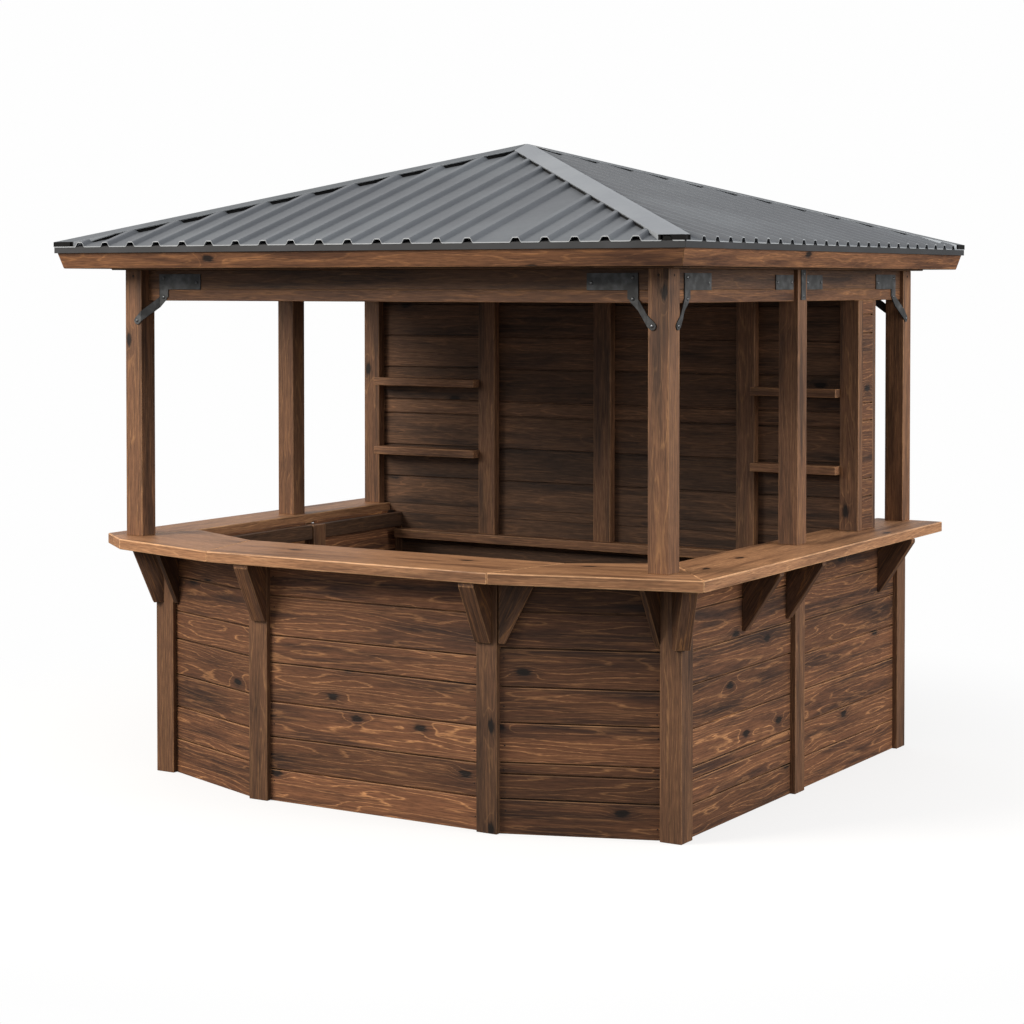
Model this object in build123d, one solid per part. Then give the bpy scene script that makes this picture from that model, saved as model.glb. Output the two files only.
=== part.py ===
from build123d import *
import math
import os

# Open timber kiosk with a serving counter round three sides, a boarded back wall and a
# pyramid roof of ribbed steel sheets. Millimetres, X to the right along the front, Y to the
# back, Z up from the ground. The design is laid out about the centre of the upper posts and
# moved at the end, so that the origin is the centre of the overall plan at ground level.

# Upper posts and the beams between them
POST = 95
FRAME_WIDTH = 2838
FRAME_DEPTH = 2560
POST_HEIGHT = 1230
BEAM_THICKNESS = 45
LOWER_BEAM_HEIGHT = 52
UPPER_BEAM_HEIGHT = 89
FRONT_BEAM_SETBACK = 52
SIDE_BEAM_SETBACK = 19
PLATE_THICKNESS = 45
PLATE_WIDTH = 140
PLATE_PROUD = 45
LEFT_POST_FORWARD = 75

# Body below the counter
BASE_SIDE_SETBACK = 46.5
BASE_FRONT_SETBACK = 72
BASE_REAR_SETBACK = 113
BASE_WIDTH = FRAME_WIDTH - 2 * BASE_SIDE_SETBACK
BASE_DEPTH = FRAME_DEPTH - BASE_FRONT_SETBACK - BASE_REAR_SETBACK
BASE_RIGHT_SHIFT = 70
BASE_POST = 100
BOW_DEPTH = 240
BOW_POST_SPACING = 1185
SIDE_POST_FROM_FRONT = 1144
SIDING = 22
SIDING_SETBACK = 24
RAIL_THICKNESS = 45
RAIL_HEIGHT = 70

# Counter
COUNTER_TOP = 1100
COUNTER_THICKNESS = 48
COUNTER_FRONT_OVERHANG = 150
COUNTER_CORNER_OVERHANG = 158
COUNTER_SIDE_OVERHANG = 216
COUNTER_RIGHT_SHIFT = 34
COUNTER_BOW_LENGTH = BOW_POST_SPACING + 261
COUNTER_RIGHT_WIDTH = 380
COUNTER_LEFT_WIDTH = 265
COUNTER_RIGHT_TAPER = 35
COUNTER_BOW_WIDTH = 455
COUNTER_INNER_BOW_LENGTH = BOW_POST_SPACING + 475
COUNTER_CORNER_WIDTH = 450
CLIPPED_CORNER_WIDTH = 218
CLIPPED_CORNER_DEPTH = 112

# Wooden brackets under the counter
BRACKET_HEIGHT = 262
BRACKET_NOSE = 17
BRACKET_FOOT = 14
BRACKET_MARGIN = 12
BOW_BRACKET_WIDTH = 75
CORNER_BRACKET_WIDTH = 66
CORNER_BRACKET_REACH = 110
SIDE_BRACKET_WIDTH = 40
SIDE_BRACKET_REACH = 176
SIDE_BRACKETS_FROM_FRONT = (625, 1062)
SIDE_BRACKET_FROM_REAR = 276
THIN_BRACKET_WIDTH = 24
THIN_BRACKET_REACH = 150
FLAT_BRACE_WIDTH = 26
FLAT_BRACE_REACH = 150
COUNTER_RAIL_HEIGHT = 30
COUNTER_RAIL_THICKNESS = 40

# Back wall
WALL_FROM_REAR = 442
STUD_DEPTH = 50
STUD_WIDTH = 97
STUD_CENTRES = (-649, 35, 830)
WALL_BOARD = 22
WALL_CORE = 75
REAR_TRIM = 36
END_BOARD = 20
CORE_STUD = 45
LEDGE_BELOW_COUNTER = 130
LEDGE_THICKNESS = 45
LEDGE_DEPTH = 75
SHELVES_ABOVE_COUNTER = (305, 670)
SHELF_THICKNESS = 40
SHELF_DEPTH = 100

# Roof
ROOF_SIDE_OVERHANG = 223
ROOF_END_OVERHANG = 234
ROOF_WIDTH = FRAME_WIDTH + 2 * ROOF_SIDE_OVERHANG
ROOF_DEPTH = FRAME_DEPTH + 2 * ROOF_END_OVERHANG
ROOF_BACK_SHIFT = 55
ROOF_LEFT_SHIFT = 55
EAVE_ABOVE_PLATE = 61
ROOF_RISE = 482
SHEET = 2
RIB_HEIGHT = 20
RIB_TOP = 24
RIB_BASE = 46
SHEET_EDGE_GAP = 6
CAP_FLANGE = 85
CAP_SHEET = 2
DRIP_HEIGHT = 28
DRIP_SHEET = 2
DRIP_FLANGE = 45
DRIP_INSET = 2
FASCIA_HEIGHT = 99
FASCIA_THICKNESS = 38
FASCIA_LEAN = 28
MITRE_GAP = 0.5
BATTEN_HEIGHT = 25
BATTEN_WIDTH = 60
BATTEN_RINGS = 4
RAFTER_WIDTH = 45
RAFTER_SEAT = 10
RAFTERS_PER_SIDE = 5
KING_BLOCK = 130
KING_BLOCK_DROP = 170

# Steel brackets between beams and posts
STEEL = 5
KNEE_PLATE_LENGTH = 240
KNEE_PLATE_HEIGHT = 70
STRAP_WIDTH = 50
STRAP_FROM_POST = 70
STRAP_DROP = 36
KNEE_DROP = 108
KNEE_FOOT_INSET = 21
ARM_WIDTH = 34
MIDDLE_PLATE_WIDTH = 45
MIDDLE_PLATE_HEIGHT = 135
BEAM_PLATE_LENGTH = 180
BEAM_PLATE_FROM_POST = 20
BEAM_PLATE_HEIGHT = 65

# Ribs of the roof sheets: how far the first one stands from the middle of its side, the
# distance from rib to rib, and how many of them. A longer side is covered by two sheets.
LONG_SIDE_RIBS = ((-1537, 151, 15), (809, 139, 6))
SHORT_SIDE_RIBS = ((-1357, 118, 24),)

# Levels that follow from the sizes above
counter_bottom = COUNTER_TOP - COUNTER_THICKNESS
ledge_top = COUNTER_TOP - LEDGE_BELOW_COUNTER
post_top = COUNTER_TOP + POST_HEIGHT
beam_split = post_top - UPPER_BEAM_HEIGHT
beam_bottom = beam_split - LOWER_BEAM_HEIGHT
plate_top = post_top + PLATE_THICKNESS
eave_z = plate_top + EAVE_ABOVE_PLATE
fascia_bottom = eave_z - FASCIA_HEIGHT

# Plan places that follow from the sizes above
post_x = FRAME_WIDTH / 2
post_y = FRAME_DEPTH / 2
base_half = BASE_WIDTH / 2
base_front = -post_y + BASE_FRONT_SETBACK
base_rear = base_front + BASE_DEPTH
bow_front = base_front - BOW_DEPTH
bow_x = BOW_POST_SPACING / 2
counter_half = base_half + COUNTER_SIDE_OVERHANG
counter_front = bow_front - COUNTER_FRONT_OVERHANG
counter_corner = base_front - COUNTER_CORNER_OVERHANG
right_inner = counter_half - COUNTER_RIGHT_WIDTH
left_inner = counter_half - COUNTER_LEFT_WIDTH
wall_back = post_y - WALL_FROM_REAR
core_back = wall_back - REAR_TRIM - WALL_BOARD
core_front = core_back - WALL_CORE
boards_front = core_front - WALL_BOARD
stud_front = boards_front - STUD_DEPTH
roof_x = ROOF_WIDTH / 2
roof_y = ROOF_DEPTH / 2
plan_right = max(roof_x - ROOF_LEFT_SHIFT, counter_half + COUNTER_RIGHT_SHIFT)
plan_left = min(-roof_x - ROOF_LEFT_SHIFT, COUNTER_RIGHT_SHIFT - counter_half)
plan_centre_x = (plan_left + plan_right) / 2
plan_centre_y = (counter_front + roof_y + ROOF_BACK_SHIFT) / 2


def save(name, *shapes):
    """Writes the solids of one named piece, moved so that the origin is the plan's centre."""
    solids = [s for shape in shapes for s in shape.solids()]
    centre = Location((-plan_centre_x, -plan_centre_y, 0))
    moved = [s.moved(centre) for s in solids]
    export_step(Compound(children=moved) if len(moved) > 1 else moved[0], f"parts/{name}.step")


def block(x0, x1, y0, y1, z0, z1):
    """A board or post between two corners."""
    size = (abs(x1 - x0), abs(y1 - y0), abs(z1 - z0))
    middle = ((x0 + x1) / 2, (y0 + y1) / 2, (z0 + z1) / 2)
    return Location(middle) * Box(*size)


def slab(outline, z0, z1):
    """A plan outline of (x, y) points, raised from z0 to z1."""
    face = make_face(Polyline(*outline, close=True))
    return Location((0, 0, z0)) * extrude(face, z1 - z0, dir=(0, 0, 1))


def elevation(outline, y0, y1):
    """An outline of (x, z) points seen from the front, carried from y0 to y1."""
    face = make_face(Polyline(*[(x, y0, z) for x, z in outline], close=True))
    return extrude(face, y1 - y0, dir=(0, 1, 0))


def mirrored(shape):
    """The same piece on the other side of the plane x = 0."""
    return mirror(shape, about=Plane.YZ)


def to_base(shape):
    """Moves a piece laid out about the body's own centre line to its place in the plan."""
    return Location((BASE_RIGHT_SHIFT, 0, 0)) * shape


def to_counter(shape):
    """Moves a piece laid out about the counter's own centre line to its place in the plan."""
    return Location((COUNTER_RIGHT_SHIFT, 0, 0)) * shape


def wall_bay(start, end):
    """Siding, sole rail and top rail of one bay, whose siding face runs from start to end.

    Both points are (x, y) on the outer face, the body's inside lies to the left of the run,
    and the bay's ends stand square to the axis that the neighbouring posts stand on."""
    run = Vector(end[0] - start[0], end[1] - start[1])
    along_x = abs(run.X) >= abs(run.Y)
    stretch = run.length / (abs(run.X) if along_x else abs(run.Y))
    inward = Vector(0, math.copysign(1, run.X)) if along_x else Vector(-math.copysign(1, run.Y), 0)

    def layer(near, far, z0, z1):
        near_step = inward * (near * stretch)
        far_step = inward * (far * stretch)
        points = [Vector(*start) + near_step, Vector(*end) + near_step]
        points += [Vector(*end) + far_step, Vector(*start) + far_step]
        return slab([(p.X, p.Y) for p in points], z0, z1)

    rail_back = SIDING + RAIL_THICKNESS
    siding = layer(0, SIDING, 0, counter_bottom)
    sole = layer(SIDING, rail_back, 0, RAIL_HEIGHT)
    top = layer(SIDING, rail_back, counter_bottom - RAIL_HEIGHT, counter_bottom)
    return siding, sole, top


def timber_bracket(reach, width, foot=BRACKET_FOOT):
    """A bracket that points along +X from x = 0, hung under the counter.

    Its side is a level top, a short square nose and a straight slope back to the foot."""
    top = counter_bottom
    side = [
        (0, top),
        (reach, top),
        (reach, top - BRACKET_NOSE),
        (foot, top - BRACKET_HEIGHT),
        (0, top - BRACKET_HEIGHT),
    ]
    return elevation(side, -width / 2, width / 2)


def placed(shape, x, y, angle):
    """Turns a piece about the vertical and moves it to (x, y)."""
    return Location((x, y, 0), (0, 0, angle)) * shape


def base_posts():
    """Posts of the body: the corner, bow, side and rear ones, each from ground to counter."""
    size = BASE_POST
    right = base_half - size

    def pair(x0, y0):
        post = block(x0, x0 + size, y0, y0 + size, 0, counter_bottom)
        return to_base(post), to_base(mirrored(post))

    save("base_corner_posts", *pair(right, base_front))
    save("base_bow_posts", *pair(bow_x - size / 2, bow_front))
    middle = pair(right, base_front + SIDE_POST_FROM_FRONT - size / 2)
    save("base_side_posts", *middle, *pair(right, base_rear - size))


def base_walls():
    """Siding and rails of the seven bays between the body's posts."""
    face = base_half - SIDING_SETBACK
    side_post = base_front + SIDE_POST_FROM_FRONT
    half_post = BASE_POST / 2
    bow_face = bow_front + SIDING_SETBACK
    corner_face = base_front + SIDING_SETBACK
    front = wall_bay((-bow_x + half_post, bow_face), (bow_x - half_post, bow_face))
    chamfer = wall_bay((bow_x + half_post, bow_face), (base_half - BASE_POST, corner_face))
    side_1 = wall_bay((face, base_front + BASE_POST), (face, side_post - half_post))
    side_2 = wall_bay((face, side_post + half_post), (face, base_rear - BASE_POST))
    save("front_wall_middle", to_base(front[0]))
    save("front_wall_right", to_base(chamfer[0]))
    save("front_wall_left", to_base(mirrored(chamfer[0])))
    save("side_wall_right", to_base(side_1[0]), to_base(side_2[0]))
    save("side_wall_left", to_base(mirrored(side_1[0])), to_base(mirrored(side_2[0])))
    right_rails = [rail for bay in (chamfer, side_1, side_2) for rail in bay[1:]]
    rails = [*front[1:], *right_rails, *[mirrored(rail) for rail in right_rails]]
    save("wall_rails", *[to_base(rail) for rail in rails])


def counter_outline():
    """Plan points of the counter about its own centre line, front edge and inner edge."""
    bow = COUNTER_BOW_LENGTH / 2
    inner_bow = COUNTER_INNER_BOW_LENGTH / 2
    slope = (counter_corner - counter_front) / (counter_half - bow)
    clip_x = -counter_half + CLIPPED_CORNER_WIDTH
    clip_chamfer = (clip_x, counter_front + slope * (-bow - clip_x))
    clip_side = (-counter_half, counter_corner + CLIPPED_CORNER_DEPTH)
    outer = {
        "bow": (bow, counter_front),
        "corner": (counter_half, counter_corner),
        "clip_chamfer": clip_chamfer,
        "clip_side": clip_side,
    }
    inner_y = counter_corner + COUNTER_CORNER_WIDTH
    inner = {
        "bow": (inner_bow, counter_front + COUNTER_BOW_WIDTH),
        "corner": (right_inner, inner_y),
        "left_corner": (-left_inner, inner_y),
    }
    return outer, inner


def left(point):
    """The mirror image of a plan point."""
    return (-point[0], point[1])


def counter():
    """The five boards of the counter, mitred where its line turns."""
    outer, inner = counter_outline()
    rear = post_y
    clip_middle = tuple((a + b) / 2 for a, b in zip(outer["clip_chamfer"], outer["clip_side"]))
    boards = {
        "counter_front": [outer["bow"], inner["bow"], left(inner["bow"]), left(outer["bow"])],
        "counter_front_right": [outer["bow"], outer["corner"], inner["corner"], inner["bow"]],
        "counter_front_left": [
            left(outer["bow"]),
            left(inner["bow"]),
            inner["left_corner"],
            clip_middle,
            outer["clip_chamfer"],
        ],
        "counter_right": [
            outer["corner"],
            (counter_half - COUNTER_RIGHT_TAPER, rear),
            (right_inner, rear),
            inner["corner"],
        ],
        "counter_left": [
            clip_middle,
            inner["left_corner"],
            (-left_inner, rear),
            (-counter_half, rear),
            outer["clip_side"],
        ],
    }
    for name, outline in boards.items():
        save(name, to_counter(slab(outline, counter_bottom, COUNTER_TOP)))


def counter_brackets():
    """Timber brackets that carry the counter's overhang."""
    siding_face = base_half - SIDING_SETBACK
    corner_face = base_front + SIDING_SETBACK
    bow_face = bow_front + SIDING_SETBACK
    panel_start = bow_x + BASE_POST / 2
    panel_end = base_half - BASE_POST
    panel_angle = math.degrees(math.atan2(corner_face - bow_face, panel_end - panel_start))
    lean = math.radians(panel_angle)

    bow = timber_bracket(COUNTER_FRONT_OVERHANG - BRACKET_MARGIN, BOW_BRACKET_WIDTH)
    bow_offset = bow_x - (BASE_POST - BOW_BRACKET_WIDTH) / 2
    right_bow = placed(bow, bow_offset, bow_front, -90)

    half = BASE_POST / 2
    to_arris = half * math.sqrt(2)
    reach = to_arris + CORNER_BRACKET_REACH
    corner = timber_bracket(reach, CORNER_BRACKET_WIDTH, to_arris + BRACKET_FOOT)
    corner = placed(corner, base_half - half, base_front + half, -45)
    post_back = base_front + BASE_POST
    post = block(base_half - BASE_POST, base_half, base_front, post_back, 0, COUNTER_TOP)
    inside = block(0, base_half - half, base_front, base_front + BASE_DEPTH, 0, COUNTER_TOP)
    behind = block(0, base_half + BASE_POST, base_front + half, base_rear, 0, COUNTER_TOP)
    corner = corner - post - inside - behind

    places = [base_front + y for y in SIDE_BRACKETS_FROM_FRONT]
    places.append(base_rear - SIDE_BRACKET_FROM_REAR)
    side_bracket = timber_bracket(SIDE_BRACKET_REACH, SIDE_BRACKET_WIDTH)
    side = [placed(side_bracket, siding_face, y, 0) for y in places]
    save("side_brackets", *[to_base(s) for s in side], *[to_base(mirrored(s)) for s in side])

    across = THIN_BRACKET_WIDTH / 2 / math.cos(lean)
    thin_x = panel_end - across
    thin_y = corner_face - across * math.tan(lean)
    reach = BASE_POST + THIN_BRACKET_REACH
    thin = timber_bracket(reach, THIN_BRACKET_WIDTH, BASE_POST + BRACKET_FOOT)
    thin = placed(thin, thin_x, thin_y + BASE_POST, -90)
    face_line = [(panel_start, bow_face), (panel_end, corner_face)]
    back_line = [(panel_end, base_rear), (panel_start, base_rear)]
    thin = thin - slab(face_line + back_line, 0, COUNTER_TOP)

    brace = timber_bracket(FLAT_BRACE_REACH, FLAT_BRACE_WIDTH, 2 * BRACKET_FOOT)
    brace = Location((0, -FLAT_BRACE_WIDTH / 2, 0)) * brace
    brace = placed(brace, panel_start, bow_face, panel_angle)
    brace = brace & block(panel_start, panel_end, counter_front, base_rear, 0, COUNTER_TOP)
    pairs = [right_bow, corner, thin]
    pieces = [*pairs, *[mirrored(piece) for piece in pairs], brace]
    save("front_brackets", *[to_base(piece) for piece in pieces])

    rail_end = panel_end - 2 * across
    brace_end = panel_start + FLAT_BRACE_REACH * math.cos(lean) + FLAT_BRACE_WIDTH
    slope = math.tan(lean)
    drop = COUNTER_RAIL_THICKNESS / math.cos(lean)
    rail = slab(
        [
            (brace_end, bow_face + slope * (brace_end - panel_start)),
            (brace_end, bow_face + slope * (brace_end - panel_start) - drop),
            (rail_end, bow_face + slope * (rail_end - panel_start) - drop),
            (rail_end, bow_face + slope * (rail_end - panel_start)),
        ],
        counter_bottom - COUNTER_RAIL_HEIGHT,
        counter_bottom,
    )
    save("counter_edge_rail", to_base(rail))


def upper_frame():
    """Posts on the counter, the two boards of each beam and the ring of top plates."""
    right = post_x - POST

    def pair(y0, forward=0):
        post = block(right, post_x, y0, y0 + POST, COUNTER_TOP, post_top)
        return post, Location((0, -forward, 0)) * mirrored(post)

    save("front_posts", *pair(-post_y))
    save("middle_posts", *pair(-POST / 2, LEFT_POST_FORWARD))
    save("rear_posts", *pair(post_y - POST))

    front = -post_y + FRONT_BEAM_SETBACK
    side = post_x - SIDE_BEAM_SETBACK
    end = post_y - POST

    def side_boards(middle, z0, z1):
        spans = [(-end, middle - POST / 2), (middle + POST / 2, end)]
        return [block(side - BEAM_THICKNESS, side, y0, y1, z0, z1) for y0, y1 in spans]

    for name, z0, z1 in (
        ("beam_lower_boards", beam_bottom, beam_split),
        ("beam_upper_boards", beam_split, post_top),
    ):
        front_board = block(-right, right, front, front + BEAM_THICKNESS, z0, z1)
        rear_board = block(-right, right, -front - BEAM_THICKNESS, -front, z0, z1)
        left_boards = [mirrored(s) for s in side_boards(-LEFT_POST_FORWARD, z0, z1)]
        save(name, front_board, rear_board, *side_boards(0, z0, z1), *left_boards)

    out_x = post_x + PLATE_PROUD
    out_y = post_y + PLATE_PROUD
    long_plate = block(-out_x, out_x, -out_y, -out_y + PLATE_WIDTH, post_top, plate_top)
    side_plate = block(
        out_x - PLATE_WIDTH, out_x, -out_y + PLATE_WIDTH, out_y - PLATE_WIDTH, post_top, plate_top
    )
    save("end_plates", long_plate, mirror(long_plate, about=Plane.XZ))
    save("side_plates", side_plate, mirrored(side_plate))


def wall_panel(y0, y1):
    """Boards of the back wall: wide on the counters, narrower between them and below."""
    rail_face = base_half - SIDING_SETBACK - SIDING - RAIL_THICKNESS
    low = (BASE_RIGHT_SHIFT - rail_face, BASE_RIGHT_SHIFT + rail_face)
    neck = (COUNTER_RIGHT_SHIFT - left_inner, COUNTER_RIGHT_SHIFT + right_inner)
    wide = post_x - END_BOARD
    beam_face = post_x - SIDE_BEAM_SETBACK - BEAM_THICKNESS
    steps_up_right = [
        (low[1], 0),
        (low[1], counter_bottom),
        (neck[1], counter_bottom),
        (neck[1], COUNTER_TOP),
        (wide, COUNTER_TOP),
        (wide, beam_bottom),
        (beam_face, beam_bottom),
        (beam_face, post_top),
    ]
    steps_up_left = [
        (low[0], 0),
        (low[0], counter_bottom),
        (neck[0], counter_bottom),
        (neck[0], COUNTER_TOP),
        (-wide, COUNTER_TOP),
        (-wide, beam_bottom),
        (-beam_face, beam_bottom),
        (-beam_face, post_top),
    ]
    return elevation(steps_up_right + steps_up_left[::-1], y0, y1)


def back_wall():
    """Full-height wall: studs and shelves in front, boards, core frame, boards and trim."""
    save("back_wall_boards", wall_panel(boards_front, core_front))
    save("back_wall_outer_boards", wall_panel(core_back, core_back + WALL_BOARD))

    post = block(post_x - POST, post_x, stud_front, boards_front, COUNTER_TOP, beam_bottom)
    half = STUD_WIDTH / 2
    studs = [
        block(x - half, x + half, stud_front, boards_front, ledge_top, post_top)
        for x in STUD_CENTRES
    ]
    save("back_studs", post, mirrored(post), *studs)
    trim_y = (wall_back - REAR_TRIM, wall_back)
    end_trim = block(post_x - POST, post_x, *trim_y, COUNTER_TOP, beam_bottom)
    trims = [block(x - half, x + half, *trim_y, 0, post_top) for x in STUD_CENTRES]
    save("back_outer_trim", end_trim, mirrored(end_trim), *trims)
    end = block(
        post_x - END_BOARD, post_x, boards_front, core_back + WALL_BOARD, COUNTER_TOP, beam_bottom
    )
    save("back_end_boards", end, mirrored(end))

    rail_face = base_half - SIDING_SETBACK - SIDING - RAIL_THICKNESS
    low = (BASE_RIGHT_SHIFT - rail_face, BASE_RIGHT_SHIFT + rail_face)
    sole = block(low[0], low[1], core_front, core_back, 0, CORE_STUD)
    beam_face = post_x - SIDE_BEAM_SETBACK - BEAM_THICKNESS
    head = block(-beam_face, beam_face, core_front, core_back, post_top - CORE_STUD, post_top)
    core = sole + head
    for x in STUD_CENTRES:
        core += block(x - CORE_STUD / 2, x + CORE_STUD / 2, core_front, core_back, 0, post_top)
    save("back_wall_core", core)

    cleat = block(
        rail_face,
        rail_face + RAIL_THICKNESS,
        boards_front,
        core_back + WALL_BOARD,
        RAIL_HEIGHT,
        counter_bottom - RAIL_HEIGHT,
    )
    save("back_wall_cleats", to_base(cleat), to_base(mirrored(cleat)))
    plate_inside = post_x + PLATE_PROUD - PLATE_WIDTH
    save(
        "back_wall_plate",
        block(
            -plate_inside, plate_inside, boards_front, core_back + WALL_BOARD, post_top, plate_top
        ),
    )
    ledge_y = boards_front - LEDGE_DEPTH
    ledge = block(*low, ledge_y, boards_front, ledge_top - LEDGE_THICKNESS, ledge_top)
    end_inside = post_x - POST
    bays = [(-end_inside, STUD_CENTRES[0] - half), (STUD_CENTRES[-1] + half, end_inside)]
    shelf_y = boards_front - SHELF_DEPTH
    tops = [COUNTER_TOP + rise for rise in SHELVES_ABOVE_COUNTER]
    shelves = [
        block(*bay, shelf_y, boards_front, z - SHELF_THICKNESS, z) for bay in bays for z in tops
    ]
    save("back_ledge_and_shelves", ledge, *shelves)


def roof_place(shape):
    """Moves a piece laid out about the roof's own centre to its place in the plan."""
    return Location((-ROOF_LEFT_SHIFT, ROOF_BACK_SHIFT, 0)) * shape


def between(first, second):
    """A solid with flat faces between two outlines of as many points each."""
    faces = [Face(Wire.make_polygon(first)), Face(Wire.make_polygon(second))]
    for i in range(len(first)):
        j = (i + 1) % len(first)
        faces.append(Face(Wire.make_polygon([first[i], first[j], second[j], second[i]])))
    return Solid(Shell(faces))


def level_ring(half_x, half_y, z):
    """The corners of a level rectangle about the roof's centre."""
    signs = [(-1, -1), (1, -1), (1, 1), (-1, 1)]
    return [Vector(sx * half_x, sy * half_y, z) for sx, sy in signs]


def frustum(inset_low, z_low, inset_high, z_high):
    """The space inside four leaning planes, given by their insets at two levels."""
    low = level_ring(roof_x - inset_low, roof_y - inset_low, z_low)
    high = level_ring(roof_x - inset_high, roof_y - inset_high, z_high)
    return between(low, high)


def pyramid(drop, floor):
    """The space under the roof surface, lowered by drop, down to the level floor."""
    apex = eave_z + ROOF_RISE - drop
    grow = (apex - floor) / ROOF_RISE
    ring = level_ring(roof_x * grow, roof_y * grow, floor)
    top = Vector(0, 0, apex)
    faces = [Face(Wire.make_polygon(ring))]
    faces += [Face(Wire.make_polygon([ring[i - 1], ring[i], top])) for i in range(4)]
    return Solid(Shell(faces))


def roof_sides():
    """Each side's name, its turn from the front, half its eave and half the span across it."""
    for turn, name in enumerate(("front", "right", "back", "left")):
        if turn % 2 == 0:
            yield name, 90 * turn, roof_x, roof_y
        else:
            yield name, 90 * turn, roof_y, roof_x


def turned(shape, angle):
    """Turns a piece laid out at the front eave round to another side of the roof."""
    return roof_place(Location((0, 0, 0), (0, 0, angle)) * shape)


def mitred_bar(half_length, half_span, profile, mitre=1.0, gap=0.0):
    """A bar along the front eave whose ends are mitred in plan.

    The profile's points are (inset, z): how far inside the eave line and how high. The bar
    gets shorter by mitre for each millimetre of inset, and by gap for a joint."""

    def end(sign):
        reach = half_length - gap
        return [Vector(sign * (reach - mitre * d), d - half_span, z) for d, z in profile]

    return between(end(-1), end(1))


def sheet_profile(half_length, ribs):
    """Section of a ribbed sheet across its ribs: points (x, height) along the top and back."""
    places = [first + i * pitch for first, pitch, count in ribs for i in range(count)]
    top = [(-half_length, SHEET)]
    bottom = [(-half_length, 0)]
    rib = [
        (-RIB_BASE / 2, 0),
        (-RIB_TOP / 2, RIB_HEIGHT),
        (RIB_TOP / 2, RIB_HEIGHT),
        (RIB_BASE / 2, 0),
    ]
    for x in places:
        top += [(x + dx, h + SHEET) for dx, h in rib]
        bottom += [(x + dx, h) for dx, h in rib]
    top.append((half_length, SHEET))
    bottom.append((half_length, 0))
    return top + bottom[::-1]


def wedge(half_length, half_span, clear, z0, z1):
    """The space over one side of the roof, kept clear of both hips by the distance clear."""
    hip = math.hypot(half_length, half_span)
    apex_y = -clear * hip / half_length
    reach = (half_span + 1 + apex_y) * half_length / half_span
    return slab([(-reach, -half_span - 1), (reach, -half_span - 1), (0, apex_y)], z0, z1)


def roof_sheets():
    """Four ribbed sheets, ribs running up the slope, each cut along its two hips."""
    for name, angle, half_length, half_span in roof_sides():
        ribs = LONG_SIDE_RIBS if name in ("front", "back") else SHORT_SIDE_RIBS
        section = sheet_profile(half_length, ribs)
        outline = [Vector(x, -half_span, eave_z + h) for x, h in section]
        face = Face(Wire.make_polygon(outline))
        sheet = Solid.extrude(face, Vector(0, half_span, ROOF_RISE))
        top = eave_z + ROOF_RISE + RIB_HEIGHT + SHEET + 1
        keep = wedge(half_length, half_span, SHEET_EDGE_GAP / 2, eave_z - 1, top)
        save(f"roof_sheet_{name}", turned(sheet & keep, angle))


def roof_surface(x, y, lift):
    """A point on the roof surface over (x, y), raised by lift."""
    fall = max(abs(x) / roof_x, abs(y) / roof_y)
    return Vector(x, y, eave_z + ROOF_RISE * (1 - fall) + lift)


def hip_caps():
    """Folded caps over the hips: two flanges that lie on the rib tops and a turned-down lip."""
    lift = RIB_HEIGHT + SHEET
    slope_front = math.hypot(roof_y, ROOF_RISE)
    slope_side = math.hypot(roof_x, ROOF_RISE)
    # The plan width of a flange, measured along its own eave, for the same real width.
    hip = math.sqrt(roof_x**2 + roof_y**2 + ROOF_RISE**2)
    front_run = CAP_FLANGE * hip / slope_front
    side_run = CAP_FLANGE * hip / slope_side
    gap = SHEET_EDGE_GAP / 2

    def flange(*plan):
        low = [roof_surface(x, y, lift) for x, y in plan]
        return between(low, [p + Vector(0, 0, CAP_SHEET) for p in low])

    caps = []
    for sx, sy in ((1, -1), (1, 1), (-1, 1), (-1, -1)):
        corner = (sx * roof_x, sy * roof_y)
        front = flange(
            corner,
            (0, 0),
            (0, sy * roof_y * front_run / roof_x),
            (sx * (roof_x - front_run), sy * roof_y),
        )
        side = flange(
            corner,
            (0, 0),
            (sx * roof_x * side_run / roof_y, 0),
            (sx * roof_x, sy * (roof_y - side_run)),
        )
        ends = (sx * gap, sx * (roof_x + 1), sy * gap, sy * (roof_y + 1))
        quarter = block(*ends, eave_z, eave_z + 2 * ROOF_RISE)
        caps.append(roof_place((front + side) & quarter))
    save("hip_caps", *caps)


def eave_surface(inset):
    """Height of the drip edge's flange, which follows the flatter of the two slopes."""
    return eave_z + inset * ROOF_RISE / max(roof_x, roof_y)


def eaves():
    """Drip edges and leaning fascia boards, mitred at the four corners."""
    leg = DRIP_INSET + DRIP_SHEET
    flange_end = DRIP_INSET + DRIP_FLANGE
    drip = [
        (DRIP_INSET, eave_z - DRIP_HEIGHT),
        (leg, eave_z - DRIP_HEIGHT),
        (leg, eave_surface(leg) - DRIP_SHEET),
        (flange_end, eave_surface(flange_end) - DRIP_SHEET),
        (flange_end, eave_surface(flange_end)),
        (DRIP_INSET, eave_surface(DRIP_INSET)),
    ]
    back = leg + FASCIA_THICKNESS
    fascia = [
        (leg, eave_surface(leg) - DRIP_SHEET),
        (leg + FASCIA_LEAN, fascia_bottom),
        (back + FASCIA_LEAN, fascia_bottom),
        (back, eave_surface(back) - DRIP_SHEET),
    ]
    for name, profile in (("drip_edges", drip), ("fascia_boards", fascia)):
        bars = [
            turned(mitred_bar(half_length, half_span, profile, gap=MITRE_GAP), angle)
            for _, angle, half_length, half_span in roof_sides()
        ]
        save(name, *bars)


def plates():
    """The ring of top plates, for what is notched over them."""
    out_x = post_x + PLATE_PROUD
    out_y = post_y + PLATE_PROUD
    ring = block(-out_x, out_x, -out_y, out_y, post_top, plate_top)
    in_x = out_x - PLATE_WIDTH
    in_y = out_y - PLATE_WIDTH
    return ring - block(-in_x, in_x, -in_y, in_y, post_top, plate_top)


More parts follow.
